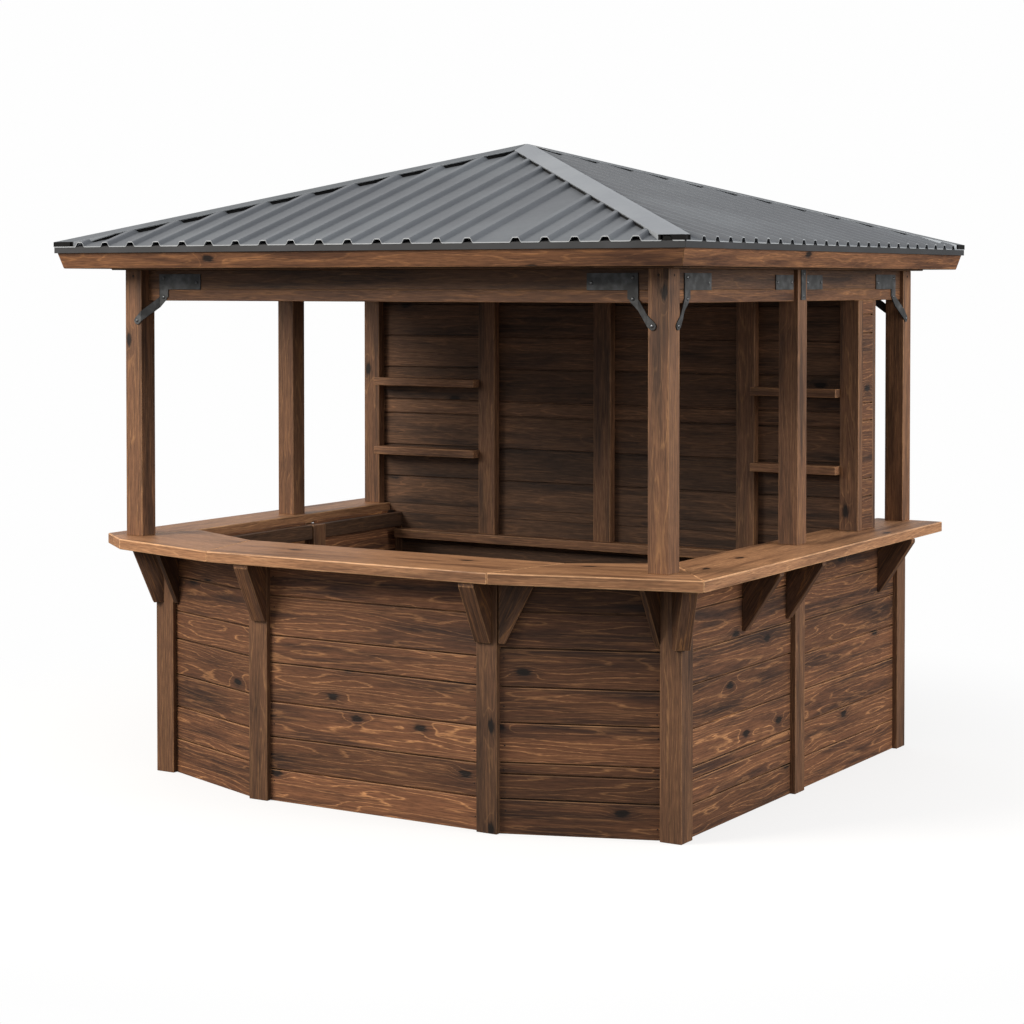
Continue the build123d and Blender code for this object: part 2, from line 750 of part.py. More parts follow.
def rafter_depth():
    """Upright depth of a rafter that is notched RAFTER_SEAT over the highest plate edge."""
    back_inset = roof_y + abs(ROOF_BACK_SHIFT) - post_y - PLATE_PROUD
    side_inset = roof_x + abs(ROOF_LEFT_SHIFT) - post_x - PLATE_PROUD
    rise = max(back_inset / roof_y, side_inset / roof_x) * ROOF_RISE
    return eave_z + rise - BATTEN_HEIGHT - plate_top + RAFTER_SEAT


def rafter_side(run):
    """Side view of a rafter with the given plan run from eave to peak, as (x, z)."""
    top_line = eave_z - BATTEN_HEIGHT
    low_line = top_line - rafter_depth()
    peak = (0, top_line + ROOF_RISE)
    return [(-run, top_line), (-run, low_line), (0, low_line + ROOF_RISE), peak]


def roof_frame():
    """Hip rafters, slope rafters, batten rings and the block at the peak.

    Tails stand against the leaning backs of the fascias and are cut level at their foot."""
    notch = Location((ROOF_LEFT_SHIFT, -ROOF_BACK_SHIFT, 0)) * plates()
    peak = eave_z + ROOF_RISE
    fascia_back = DRIP_INSET + DRIP_SHEET + FASCIA_THICKNESS
    lean = FASCIA_LEAN / (eave_surface(fascia_back) - DRIP_SHEET - fascia_bottom)
    foot_inset = fascia_back + FASCIA_LEAN
    inside = frustum(foot_inset, fascia_bottom, foot_inset - lean * (peak - fascia_bottom), peak)
    under_battens = pyramid(BATTEN_HEIGHT, fascia_bottom)
    half_block = KING_BLOCK / 2
    king = block(-half_block, half_block, -half_block, half_block, peak - KING_BLOCK_DROP, peak)
    save("peak_block", roof_place(king & under_battens))
    king_space = block(-half_block, half_block, -half_block, half_block, post_top, peak)
    rafter_space = (under_battens & inside) - notch - king_space

    hip = math.hypot(roof_x, roof_y)
    half_width = RAFTER_WIDTH / 2
    blank = elevation(rafter_side(hip), -half_width, half_width)
    angle = math.degrees(math.atan2(roof_y, roof_x))
    hips = []
    for turn in (angle, 180 - angle, 180 + angle, -angle):
        rafter = Location((0, 0, 0), (0, 0, turn)) * blank
        hips.append(roof_place(rafter & rafter_space))
    save("hip_rafters", *hips)

    rafters = []
    battens = []
    last = 1 - 2 * BATTEN_WIDTH / min(roof_x, roof_y)
    for _, angle, half_length, half_span in roof_sides():
        back = Location((0, 0, 0), (0, 0, -angle))
        sector = wedge(half_length, half_span, half_width, fascia_bottom, peak)
        side_space = (back * rafter_space) & sector
        blank = placed(elevation(rafter_side(half_span), -half_width, half_width), 0, 0, 90)
        spacing = 2 * half_length / (RAFTERS_PER_SIDE + 1)
        for i in range(RAFTERS_PER_SIDE):
            x = (i - (RAFTERS_PER_SIDE - 1) / 2) * spacing
            rafters.append(turned((Location((x, 0, 0)) * blank) & side_space, angle))

        slope = ROOF_RISE / half_span
        side_inside = back * inside
        for i in range(BATTEN_RINGS):
            low = foot_inset + i * (last * half_span - foot_inset) / (BATTEN_RINGS - 0.5)
            high = low + BATTEN_WIDTH
            profile = [
                (low, eave_z + low * slope - BATTEN_HEIGHT),
                (high, eave_z + high * slope - BATTEN_HEIGHT),
                (high, eave_z + high * slope),
                (low, eave_z + low * slope),
            ]
            bar = mitred_bar(half_length, half_span, profile, half_length / half_span, MITRE_GAP)
            battens.append(turned(bar & side_inside, angle))
    save("slope_rafters", *rafters)
    save("roof_battens", *battens)


def knee_bracket(setback):
    """A bent flat-steel bracket at the left end of a beam that runs along +X.

    The post's side is at x = 0, the beam's face at y = 0 and the post's face at -setback.
    The strip's bends seen from above are cut to its outline seen from the front."""
    bend = STRAP_FROM_POST
    far = STRAP_FROM_POST + KNEE_PLATE_LENGTH
    near = -KNEE_FOOT_INSET - ARM_WIDTH
    angle = math.atan2(setback, bend)
    shift = STEEL * math.tan(angle / 2)
    plan = [
        (far, 0),
        (bend, 0),
        (0, -setback),
        (near, -setback),
        (near, -setback - STEEL),
        (shift, -setback - STEEL),
        (bend + shift, -STEEL),
        (far, -STEEL),
    ]
    strap_low = beam_split - STRAP_DROP
    foot_z = strap_low - KNEE_DROP
    top = beam_split + KNEE_PLATE_HEIGHT
    strip = slab(plan, foot_z - ARM_WIDTH, top)
    y0, y1 = -setback - 2 * STEEL, STEEL
    plate = block(bend, far, y0, y1, beam_split, top)
    strap = block(bend, bend + STRAP_WIDTH, y0, y1, strap_low, top)
    head = Vector(bend + STRAP_WIDTH / 2, strap_low)
    foot = Vector(-KNEE_FOOT_INSET, foot_z)
    arm = SlotCenterToCenter((head - foot).length, ARM_WIDTH)
    turn = math.degrees(math.atan2(head.Y - foot.Y, head.X - foot.X))
    middle = (head + foot) * 0.5
    plane = Plane((middle.X, y1, middle.Y), x_dir=(1, 0, 0), z_dir=(0, -1, 0))
    arm = extrude(plane * Rot(0, 0, turn) * arm, y1 - y0)
    return strip & (plate + strap + arm)


def steel_brackets():
    """Knee brackets at the corner posts, and the plates at each middle post."""
    right = post_x - POST
    front = -post_y + FRONT_BEAM_SETBACK
    side = post_x - SIDE_BEAM_SETBACK
    wide = knee_bracket(FRONT_BEAM_SETBACK)
    near = knee_bracket(SIDE_BEAM_SETBACK)
    front_left = placed(wide, -right, front, 0)
    rear_right = placed(wide, right, -front, 180)
    side_front = placed(near, side, -post_y + POST, 90)
    side_rear = placed(mirrored(near), side, post_y - POST, 90)
    knees = [mirrored(front_left), rear_right, side_front, side_rear]

    half = MIDDLE_PLATE_WIDTH / 2
    plate_foot = post_top - MIDDLE_PLATE_HEIGHT
    post_plate = block(post_x, post_x + STEEL, -half, half, plate_foot, post_top)
    beam_plate = block(
        side,
        side + STEEL,
        POST / 2 + BEAM_PLATE_FROM_POST,
        POST / 2 + BEAM_PLATE_FROM_POST + BEAM_PLATE_LENGTH,
        beam_split,
        beam_split + BEAM_PLATE_HEIGHT,
    )
    flats = [post_plate, beam_plate, mirror(beam_plate, about=Plane.XZ)]
    forward = Location((0, -LEFT_POST_FORWARD, 0))
    left_flats = [forward * mirrored(piece) for piece in flats]
    left_knees = [mirrored(piece) for piece in knees]
    save("steel_brackets", *knees, *flats, *left_knees, *left_flats)


os.makedirs("parts", exist_ok=True)
base_posts()
base_walls()
counter()
counter_brackets()
upper_frame()
back_wall()
roof_sheets()
hip_caps()
eaves()
roof_frame()
steel_brackets()
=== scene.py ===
# %% [markdown]
# # An open timber kiosk
# The kiosk is a small serving hut: dark stained softwood boards round a low body, a counter on
# three sides, six posts, a boarded back wall and a pyramid roof of ribbed steel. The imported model
# gives every timber its real place and size. This scene gives the timbers rounded arrises and
# grain, splits the walls into their boards, lays the roof in thin folded steel and adds the
# screws and bolts.

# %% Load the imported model
import math

import bmesh
import bpy
import numpy as np
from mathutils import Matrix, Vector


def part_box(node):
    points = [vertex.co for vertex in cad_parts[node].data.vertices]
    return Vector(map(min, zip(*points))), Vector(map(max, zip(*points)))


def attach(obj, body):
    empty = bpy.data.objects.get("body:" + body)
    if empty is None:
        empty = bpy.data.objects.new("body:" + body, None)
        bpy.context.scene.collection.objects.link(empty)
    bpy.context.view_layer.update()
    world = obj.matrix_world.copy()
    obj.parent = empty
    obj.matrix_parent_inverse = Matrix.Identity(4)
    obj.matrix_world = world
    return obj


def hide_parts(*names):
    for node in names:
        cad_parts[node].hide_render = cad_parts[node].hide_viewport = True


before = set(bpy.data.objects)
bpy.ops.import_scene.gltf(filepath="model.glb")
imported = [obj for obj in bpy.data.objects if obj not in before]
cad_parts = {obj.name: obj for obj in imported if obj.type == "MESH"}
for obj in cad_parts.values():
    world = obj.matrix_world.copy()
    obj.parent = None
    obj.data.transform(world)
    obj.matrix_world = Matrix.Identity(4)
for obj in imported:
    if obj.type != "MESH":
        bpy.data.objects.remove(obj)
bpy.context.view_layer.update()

# %% [markdown]
# ## The camera
# The kiosk was photographed from its right front corner, from about the height of the beams, with
# a long lens. Upright timbers stay upright in such a picture because the lens is shifted instead
# of tilted. Most of the framing here comes from that shift, and the rest from a slight tilt.

# %% Camera
LENS_MM = 81.30
SENSOR_MM = 36
CAMERA_PLACE = (5.7592, -9.4546, 2.2682)
CAMERA_TILT = 1.602
CAMERA_TURN = 31.602
CAMERA_SHIFT = -0.16

camera = bpy.data.objects.new("camera", bpy.data.cameras.new("camera"))
camera.data.sensor_width = SENSOR_MM
camera.data.lens = LENS_MM
camera.data.shift_y = CAMERA_SHIFT
camera.location = CAMERA_PLACE
camera.rotation_euler = (math.radians(90 - CAMERA_TILT), 0, math.radians(CAMERA_TURN))
bpy.context.collection.objects.link(camera)
bpy.context.scene.camera = camera
bpy.context.scene.view_settings.view_transform = "Standard"

# %% [markdown]
# ## Helpers for materials
# Colours are written as sRGB hex values, the way a paint chart gives them, and turned to linear
# light once. One small function adds a node, sets its properties, connects its inputs and hands
# back one of its outputs, so that a material reads as a list of steps.

# %% Colour and node helpers


def linear(hex_colour):
    """Linear colour of an sRGB hex value: below 0.04045 a straight line, above it a power."""
    srgb = np.array([int(hex_colour[i : i + 2], 16) for i in (1, 3, 5)]) / 255
    value = np.where(srgb <= 0.04045, srgb / 12.92, ((srgb + 0.055) / 1.055) ** 2.4)
    return (*value.tolist(), 1.0)


def add(tree, kind, inputs=(), out=0, **settings):
    """Adds one node and returns its output out: settings go to the node's properties, and each
    input takes a value or another node's output."""
    made = tree.nodes.new(kind)
    for name, value in settings.items():
        setattr(made, name, value)
    for key, value in dict(inputs).items():
        if isinstance(value, bpy.types.NodeSocket):
            tree.links.new(value, made.inputs[key])
        else:
            made.inputs[key].default_value = value
    return made.outputs[out]


def new_material(name):
    """An empty node material, its tree and its shader."""
    material = bpy.data.materials.new(name)
    material.use_nodes = True
    return material, material.node_tree, material.node_tree.nodes["Principled BSDF"]


# %% [markdown]
# ## Stained softwood
# A board is a slice of a log, so its figure is the log's growth rings cut by the board's faces.
# Each board here carries its place in its own log as an attribute: x along the grain, y and z
# across it from the pith. The distance from the pith gives the rings, which show as long arches
# on a wide face and as arcs on an end. Four noises, all stretched along the grain, do the rest:
# the wave bends the rings, the band is the broad light and dark of a board, the streak is the
# drawn-out colour of the stain and the fibre is the finest line that shows at this distance.
#
# Stain soaks into the soft early wood and leaves the hard late wood lighter, so the rings are
# thin light lines. Rings are 3 mm apart in such wood. They are drawn wider apart, because finer
# ones would not show from ten metres. Handling rubs the stain off the arrises.

# %% Stained softwood
RING_SPACING = 0.016
RING_WAVE = 0.085
KNOT_LENGTH = 0.42
KNOT_WIDTH = 0.20
KNOT_SHARE = 0.42
KNOT_BEND = 0.020
KNOT_COLOUR = "#1b110c"
KNOT_SMUDGE = 0.55
# How much the fibre frays a ring, as a share of the rings' spacing.
RING_FRAY = 0.45
# Darkest and lightest value of a fibre and of a whole board, as factors.
FIBRE_VALUES = (0.62, 1.38)
BOARD_VALUES = (0.56, 1.46)
# Length along the grain and width across it of each noise, in metres, and its octaves.
FIGURE = {
    "wave": (0.58, 0.070, 1.0),
    "band": (0.85, 0.080, 3.0),
    "streak": (0.34, 0.0085, 3.0),
    "fibre": (0.060, 0.0045, 2.0),
}


def stained_softwood(
    name, dark, mid, light, rings, knots=1.0, roughness=0.62, worn_light="#9a7350"
):
    """Sawn and stained softwood. dark is where the stain went deep, mid is the usual colour,
    light is the late wood and worn_light a rubbed arris. rings is how strongly the growth rings
    show, from 0 to 1, and knots is the share of the usual knots that show."""
    material, tree, shader = new_material(name)
    log = add(tree, "ShaderNodeAttribute", out="Vector", attribute_name="log")
    tone = add(tree, "ShaderNodeAttribute", out="Fac", attribute_name="tone")
    worn = add(tree, "ShaderNodeAttribute", out="Fac", attribute_name="worn")
    field = {}
    for part, (length, width, octaves) in FIGURE.items():
        size = {0: log, 1: (1 / length, 1 / width, 1 / width)}
        place = add(tree, "ShaderNodeVectorMath", size, operation="MULTIPLY")
        noise = {"Vector": place, "Scale": 1.0, "Detail": octaves, "Roughness": 0.6}
        field[part] = add(tree, "ShaderNodeTexNoise", noise)

    # Knots are branches, so they run through the board: only x and y place them.
    size = {0: log, 1: (1 / KNOT_LENGTH, 1 / KNOT_WIDTH, 0.0)}
    place = add(tree, "ShaderNodeVectorMath", size, operation="MULTIPLY")
    cells = {"Vector": place, "Scale": 1.0, "Randomness": 0.8}
    distance = add(tree, "ShaderNodeTexVoronoi", cells, "Distance", voronoi_dimensions="2D")
    cell = distance.node.outputs["Color"]
    chance = add(tree, "ShaderNodeSeparateColor", {"Color": cell})
    here = add(tree, "ShaderNodeMath", {0: chance, 1: KNOT_SHARE * knots}, operation="LESS_THAN")
    rough_edge = {0: field["fibre"], 1: 0.10, 2: distance}
    distance = add(tree, "ShaderNodeMath", rough_edge, operation="MULTIPLY_ADD")
    halo = {"Value": distance, "From Min": 0.30, "From Max": 0.08, "To Max": here}
    halo = add(tree, "ShaderNodeMapRange", halo, interpolation_type="SMOOTHSTEP")
    knot = {"Value": distance, "From Min": 0.150, "From Max": 0.100, "To Max": here}
    knot = add(tree, "ShaderNodeMapRange", knot, interpolation_type="SMOOTHSTEP")

    # Rings: how far out of the pith, pushed about by the wave and the knots, frayed by the fibre.
    across = add(tree, "ShaderNodeVectorMath", {0: log, 1: (0, 1, 1)}, operation="MULTIPLY")
    pith = add(tree, "ShaderNodeVectorMath", {0: across}, "Value", operation="LENGTH")
    fray = RING_SPACING * RING_FRAY
    reach = pith
    for bend, amount in ((field["wave"], RING_WAVE), (halo, KNOT_BEND), (field["fibre"], fray)):
        bent = {0: bend, 1: amount, 2: reach}
        reach = add(tree, "ShaderNodeMath", bent, operation="MULTIPLY_ADD")
    turns = add(tree, "ShaderNodeMath", {0: reach, 1: RING_SPACING}, operation="DIVIDE")
    phase = add(tree, "ShaderNodeMath", {0: turns}, operation="FRACT")
    rise = {"Value": phase, "From Min": 0.76, "From Max": 0.91}
    rise = add(tree, "ShaderNodeMapRange", rise, interpolation_type="SMOOTHSTEP")
    fall = {"Value": phase, "From Min": 1.0, "From Max": 0.91}
    fall = add(tree, "ShaderNodeMapRange", fall, interpolation_type="SMOOTHSTEP")
    ring = add(tree, "ShaderNodeMath", {0: rise, 1: fall}, operation="MULTIPLY")
    shown = {"Value": field["band"], "From Min": 0.40, "From Max": 0.62}
    shown.update({"To Min": rings * 0.30, "To Max": rings})
    shown = add(tree, "ShaderNodeMapRange", shown)
    ring = add(tree, "ShaderNodeMath", {0: ring, 1: shown}, operation="MULTIPLY")

    # Colour: broad bands from dark to mid, then light streaks and rings, dark streaks, the dark
    # round the knots, the knots themselves and the worn arrises, each over the ones before.
    soak = {"Value": field["band"], "From Min": 0.28, "From Max": 0.58}
    soak = add(tree, "ShaderNodeMapRange", soak, interpolation_type="SMOOTHSTEP")
    drawn = {"Value": field["streak"], "From Min": 0.50, "From Max": 0.74, "To Max": 0.32}
    drawn = add(tree, "ShaderNodeMapRange", drawn, interpolation_type="SMOOTHSTEP")
    sunk = {"Value": field["streak"], "From Min": 0.46, "From Max": 0.28, "To Max": 0.38}
    sunk = add(tree, "ShaderNodeMapRange", sunk, interpolation_type="SMOOTHSTEP")
    smudge = add(tree, "ShaderNodeMath", {0: halo, 1: KNOT_SMUDGE}, operation="MULTIPLY")
    rubbed = {"Value": field["streak"], "From Min": 0.30, "From Max": 0.62, "To Max": worn}
    rubbed = add(tree, "ShaderNodeMapRange", rubbed)
    mixed = {0: soak, 6: linear(dark), 7: linear(mid)}
    colour = add(tree, "ShaderNodeMix", mixed, 2, data_type="RGBA")
    layers = [(drawn, light), (ring, light), (sunk, dark), (smudge, dark)]
    layers += [(knot, KNOT_COLOUR), (rubbed, worn_light)]
    for cover, shade in layers:
        mixed = {0: cover, 6: colour, 7: linear(shade)}
        colour = add(tree, "ShaderNodeMix", mixed, 2, data_type="RGBA")
    fine = {"Value": field["fibre"], "From Min": 0.25, "From Max": 0.75}
    fine.update({"To Min": FIBRE_VALUES[0], "To Max": FIBRE_VALUES[1]})
    fine = add(tree, "ShaderNodeMapRange", fine)
    board = {"Value": tone, "To Min": BOARD_VALUES[0], "To Max": BOARD_VALUES[1]}
    board = add(tree, "ShaderNodeMapRange", board)
    value = add(tree, "ShaderNodeMath", {0: fine, 1: board}, operation="MULTIPLY")
    colour = add(tree, "ShaderNodeHueSaturation", {"Value": value, "Color": colour})
    tree.links.new(colour, shader.inputs["Base Color"])

    # Sawn fibres stand up a little, the late wood stands proud and the knots lie lower.
    height = field["fibre"]
    for mark, lift in ((ring, 0.8), (knot, -0.6)):
        raised = {0: mark, 1: lift, 2: height}
        height = add(tree, "ShaderNodeMath", raised, operation="MULTIPLY_ADD")
    bump = {"Strength": 0.5, "Distance": 0.0016, "Height": height}
    tree.links.new(add(tree, "ShaderNodeBump", bump), shader.inputs["Normal"])
    rough = {"Value": field["fibre"], "To Min": roughness + 0.12, "To Max": roughness - 0.10}
    tree.links.new(add(tree, "ShaderNodeMapRange", rough), shader.inputs["Roughness"])
    shader.inputs["Specular IOR Level"].default_value = 0.30
    return material


# Name, dark, mid and light, and how strong the rings are. Then, where they aren't the usual ones,
# the share of knots, the roughness and the colour of a worn arris.
WOODS = {
    "siding": ("sawn_siding_dark_stain", "#301f18", "#67432d", "#ae7c52", 0.90),
    "wall": (
        "back_wall_boards_dark_stain", "#2c1f18", "#5b412f", "#8d6445",
        0.45, 0.35, 0.62, "#4a3526",
    ),
    "frame": ("planed_posts_brown_stain", "#3c291e", "#6d4c36", "#a27850", 0.50, 0.6, 0.55),
    "fascia": ("fascia_warm_brown_stain", "#442b1e", "#734e35", "#ad7a4e", 0.60, 0.9, 0.55),
    "bracket": ("planed_brackets_brown_stain", "#38271d", "#5f4230", "#98693e", 0.70, 0.2, 0.6),
    "counter": (
        "planed_counter_brown_stain", "#5e402c", "#936a4b", "#bb8e66",
        0.5, 0.5, 0.5, "#c2966e",
    ),
}
wood = {use: stained_softwood(*settings) for use, settings in WOODS.items()}
print("woods", list(wood))

# %% [markdown]
# ## Coated steel
# The roof sheets, hip caps and drip edges are thin steel with a baked graphite coating: nearly
# matt, with a soft sheen at low angles and a very faint unevenness. The front right cap's coating
# is painted lighter, a painted highlight, and the drip edges' coating is painted darker, as painted
# shade under the eave. The brackets are thicker flat bar with a darker coating that is worn lighter
# in places. Where the thin sheet is cut, its bare zinc edge is light; on the eave lip and the caps'
# turned-down edges the same light colour is a painted highlight, a fine light line. Black filler,
# painted shade, fills the gap between the ribs under a cap and closes its eave end, and is dull
# all over.

# %% Coated steel


def coated_steel(name, colour, worn, roughness, patch, metallic=0.35, relief=0.05):
    """Steel under a baked coating, with faint patches of the given size in metres."""
    material, tree, shader = new_material(name)
    place = add(tree, "ShaderNodeTexCoord", out="Object")
    cloud = add(tree, "ShaderNodeTexNoise", {"Vector": place, "Scale": 1 / patch, "Detail": 4.0})
    grain = {"Vector": place, "Scale": 20 / patch, "Detail": 2.0}
    grain = add(tree, "ShaderNodeTexNoise", grain)
    amount = {"Value": cloud, "From Min": 0.4, "From Max": 0.75}
    amount = add(tree, "ShaderNodeMapRange", amount, interpolation_type="SMOOTHSTEP")
    mixed = {0: amount, 6: linear(colour), 7: linear(worn)}
    mixed = add(tree, "ShaderNodeMix", mixed, 2, data_type="RGBA")
    tree.links.new(mixed, shader.inputs["Base Color"])
    rough = {"Value": grain, "To Min": roughness - 0.06, "To Max": roughness + 0.06}
    tree.links.new(add(tree, "ShaderNodeMapRange", rough), shader.inputs["Roughness"])
    bump = {"Strength": relief, "Distance": 0.001, "Height": grain}
    tree.links.new(add(tree, "ShaderNodeBump", bump), shader.inputs["Normal"])
    shader.inputs["Metallic"].default_value = metallic
    shader.inputs["Specular IOR Level"].default_value = 0.25
    return material


roof_steel = coated_steel("roof_sheet_graphite_coating", "#63676d", "#6f747a", 0.52, 0.6, 0.1)
# The front right cap's lighter grey is a painted highlight; the other caps' graphite is their
# coating.
cap_steel = coated_steel("hip_cap_painted_highlight_grey", "#8d9299", "#989da3", 0.44, 0.5)
dull_cap_steel = coated_steel("hip_cap_graphite_coating", "#5f6469", "#6d7278", 0.5, 0.5)
# The drip edges are painted darker than the roof's coating, as painted shade under the eave.
drip_steel = coated_steel("drip_edge_painted_shade_coating", "#37383a", "#414245", 0.5, 0.4)
# The light zinc is a cut edge's colour. It is a painted highlight where it covers the eave lip and
# the caps' turned-down edges.
zinc_and_highlight_steel = coated_steel("cut_edge_zinc_and_painted_highlight", "#9fa4a9", "#b2b6ba", 0.42, 0.3)
bracket_look = ("#3c3d3e", "#5c5e60", 0.45, 0.05, 0.4, 0.15)
bracket_steel = coated_steel("bracket_flat_bar_dark_coating", *bracket_look)
bolt_steel = coated_steel("bolt_heads_dark_zinc", "#5a5c5e", "#83868a", 0.36, 0.01, 0.8)
screw_steel = coated_steel("countersunk_screws_rusted", "#2a2220", "#4a3a30", 0.6, 0.004, 0.3)
# The black filler is painted shade in the gaps and at the ends under the hip caps.
painted_shade_filler = coated_steel("black_filler_painted_shade", "#0d0d0e", "#161617", 0.9, 0.05, 0.0, 0.3)

# %% [markdown]
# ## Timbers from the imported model
# Every solid of a timber node becomes one timber: a welded copy with its arrises rounded, because
# a planed post is never knife sharp and its light edge is what the eye reads. The grain runs along
# the solid's longest edge. All vertices of a node are handled as one array.

# %% Measuring the solids of a mesh
SEED = 41
SAME_PLACE = 0.001
draw = np.random.default_rng(SEED)


def mesh_array(items, field, width, kind=float):
    """One property of all vertices or edges of a mesh, as rows of the given width."""
    values = np.empty(len(items) * width, dtype=kind)
    items.foreach_get(field, values)
    return values.reshape(-1, width)


def solid_labels(mesh):
    """Numbers a mesh's separate solids: a vertex takes the lowest number its edges reach."""
    ends = mesh_array(mesh.edges, "vertices", 2, np.int32)
    label = np.arange(len(mesh.vertices))
    while True:
        low = label[ends].min(axis=1)
        lowered = label.copy()
        np.minimum.at(lowered, ends[:, 0], low)
        np.minimum.at(lowered, ends[:, 1], low)
        lowered = lowered[lowered]
        if np.array_equal(lowered, label):
            return np.unique(label, return_inverse=True)[1]
        label = lowered


def board_axes(places, ends):
    """Unit vectors along, across and through a board: its longest edge, then the longest edge
    square to that one, then the direction square to both."""
    runs = places[ends[:, 1]] - places[ends[:, 0]]
    along = runs[np.argmax(np.linalg.norm(runs, axis=1))]
    along = along / np.linalg.norm(along)
    square = runs - np.outer(runs @ along, along)
    across = square[np.argmax(np.linalg.norm(square, axis=1))]
    across = across / np.linalg.norm(across)
    return np.stack([along, across, np.cross(along, across)])


def log_places(local, thickness, width):
    """Places in a log for points given along, across and through one board.

    The board lies off the pith by a random distance, and the log leans a little against it, so
    that the rings run out in arches: y = across + offset + lean * along, and z likewise."""
    lean = draw.uniform(-0.014, 0.014, 2)
    offset = draw.uniform(-0.35, 0.35) * width
    depth = thickness / 2 + draw.uniform(0.02, 0.07)
    x = local[:, 0] + draw.uniform(0, 40)
    y = local[:, 1] + offset + lean[0] * local[:, 0]
    z = local[:, 2] + depth + lean[1] * local[:, 0]
    return np.stack([x, y, z], axis=1)


def store(mesh, log, tone, worn):
    """Writes the three attributes that the wood reads: two for each vertex, one for each face."""
    mesh.attributes.new("log", "FLOAT_VECTOR", "POINT").data.foreach_set("vector", log.ravel())
    mesh.attributes.new("tone", "FLOAT", "POINT").data.foreach_set("value", tone)
    mesh.attributes.new("worn", "FLOAT", "FACE").data.foreach_set("value", worn)


def settle(name, mesh, materials, slot, *replaced):
    """Puts a finished mesh in the scene as a piece of the kiosk."""
    for material in materials:
        mesh.materials.append(material)
    piece = bpy.data.objects.new(name, mesh)
    bpy.context.collection.objects.link(piece)
    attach(piece, "root")
    if replaced:
        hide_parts(*replaced)
    return piece


# %% Rounded copies of the nodes
WELD = 0.00002
FLAT_ANGLE = math.radians(1)
SHARP_ANGLE = math.radians(15)


def rounded_copy(node, arris):
    """A welded copy of a node's mesh with flat faces joined and every sharp edge rounded, and
    for each face whether it belongs to a rounded edge."""
    form = bmesh.new()
    form.from_mesh(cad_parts[node].data)
    bmesh.ops.remove_doubles(form, verts=form.verts, dist=WELD)
    bmesh.ops.dissolve_limit(form, angle_limit=FLAT_ANGLE, verts=form.verts, edges=form.edges)
    sharp = [e for e in form.edges if e.is_manifold and e.calc_face_angle() > SHARP_ANGLE]
    settings = {"offset": arris, "segments": 2, "profile": 0.5, "affect": "EDGES"}
    made = bmesh.ops.bevel(form, geom=sharp, clamp_overlap=True, **settings)
    bmesh.ops.recalc_face_normals(form, faces=form.faces)
    form.faces.index_update()
    edge = np.zeros(len(form.faces))
    edge[[face.index for face in made["faces"]]] = 1.0
    mesh = bpy.data.meshes.new(node)
    form.to_mesh(mesh)
    form.free()
    return mesh, edge


def dress_timber(node, material, slot, tones=(0.3, 0.7), arris=0.003, wear=0.7):
    """Replaces a node of solid timbers by rounded ones with grain along each."""
    mesh, edge = rounded_copy(node, arris)
    places = mesh_array(mesh.vertices, "co", 3)
    ends = mesh_array(mesh.edges, "vertices", 2, np.int32)
    label = solid_labels(mesh)
    log = np.zeros_like(places)
    tone = np.zeros(len(places))
    for number in range(label.max() + 1):
        mine = label == number
        axes = board_axes(places, ends[mine[ends[:, 0]]])
        local = (places[mine] - places[mine].mean(axis=0)) @ axes.T
        size = np.ptp(local, axis=0)
        log[mine] = log_places(local, size[2], size[1])
        tone[mine] = draw.uniform(*tones)
    store(mesh, log, tone, edge * wear)
    return settle(f"{node}_timber", mesh, [material], slot, node)


# The wood of each node, and how light its timbers may be, from 0 for the darkest to 1.
TIMBERS = {
    "front_posts": ("frame", (0.45, 0.65)),
    "middle_posts": ("frame", (0.45, 0.65)),
    "rear_posts": ("frame", (0.70, 0.90)),
    "base_corner_posts": ("frame", (0.30, 0.45)),
    "base_bow_posts": ("frame", (0.15, 0.60)),
    "base_side_posts": ("frame", (0.30, 0.45)),
    "beam_lower_boards": ("fascia", (0.20, 0.35)),
    # The upper beam boards are painted darkest, as painted shade: the fascia shades them.
    "beam_upper_boards": ("frame", (0.00, 0.10)),
    "end_plates": ("frame", (0.10, 0.30)),
    "side_plates": ("frame", (0.10, 0.30)),
    "fascia_boards": ("fascia", (0.45, 0.65)),
    "front_brackets": ("bracket", (0.20, 0.70)),
    "side_brackets": ("bracket", (0.20, 0.60)),
    # The rails inside the body are painted darkest, as painted shade inside it.
    "counter_edge_rail": ("wall", (0.00, 0.20)),
    "wall_rails": ("wall", (0.00, 0.20)),
    "back_studs": ("frame", (0.45, 0.60)),
    "back_outer_trim": ("frame", (0.30, 0.50)),
    "back_ledge_and_shelves": ("frame", (0.70, 0.90)),
    "back_wall_cleats": ("frame", (0.10, 0.30)),
    "back_wall_core": ("frame", (0.10, 0.30)),
    "back_wall_plate": ("frame", (0.10, 0.30)),
    "hip_rafters": ("frame", (0.20, 0.50)),
    "slope_rafters": ("frame", (0.20, 0.50)),
    "roof_battens": ("frame", (0.20, 0.50)),
    "peak_block": ("frame", (0.20, 0.50)),
}
for node, (use, tones) in TIMBERS.items():
    dress_timber(node, wood[use], "frame_timber", tones)
COUNTER_BOARDS = ["front", "front_left", "front_right", "left", "right"]
COUNTER_TONES = (0.45, 0.75)
COUNTER_ARRIS = 0.005
COUNTER_WEAR = 1.0
for board in COUNTER_BOARDS:
    look = (COUNTER_TONES, COUNTER_ARRIS, COUNTER_WEAR)
    dress_timber(f"counter_{board}", wood["counter"], "counter_timber", *look)
print("timber nodes dressed", len(TIMBERS) + len(COUNTER_BOARDS))

# %% [markdown]
# ## Boards on the walls
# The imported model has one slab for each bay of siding. The real bay is a stack of sawn boards of
# uneven width with a dark joint between them. A board is a profile carried along the bay: two
# rounded front arrises, and at the back a lip that reaches up behind the next board, so that no
# light shows through the joint. The profile and the stations along the board make one grid.

# %% Boards of one bay
JOINT = 0.0065
BOARD_ARRIS = 0.003
BOARD_WEAR = 0.8
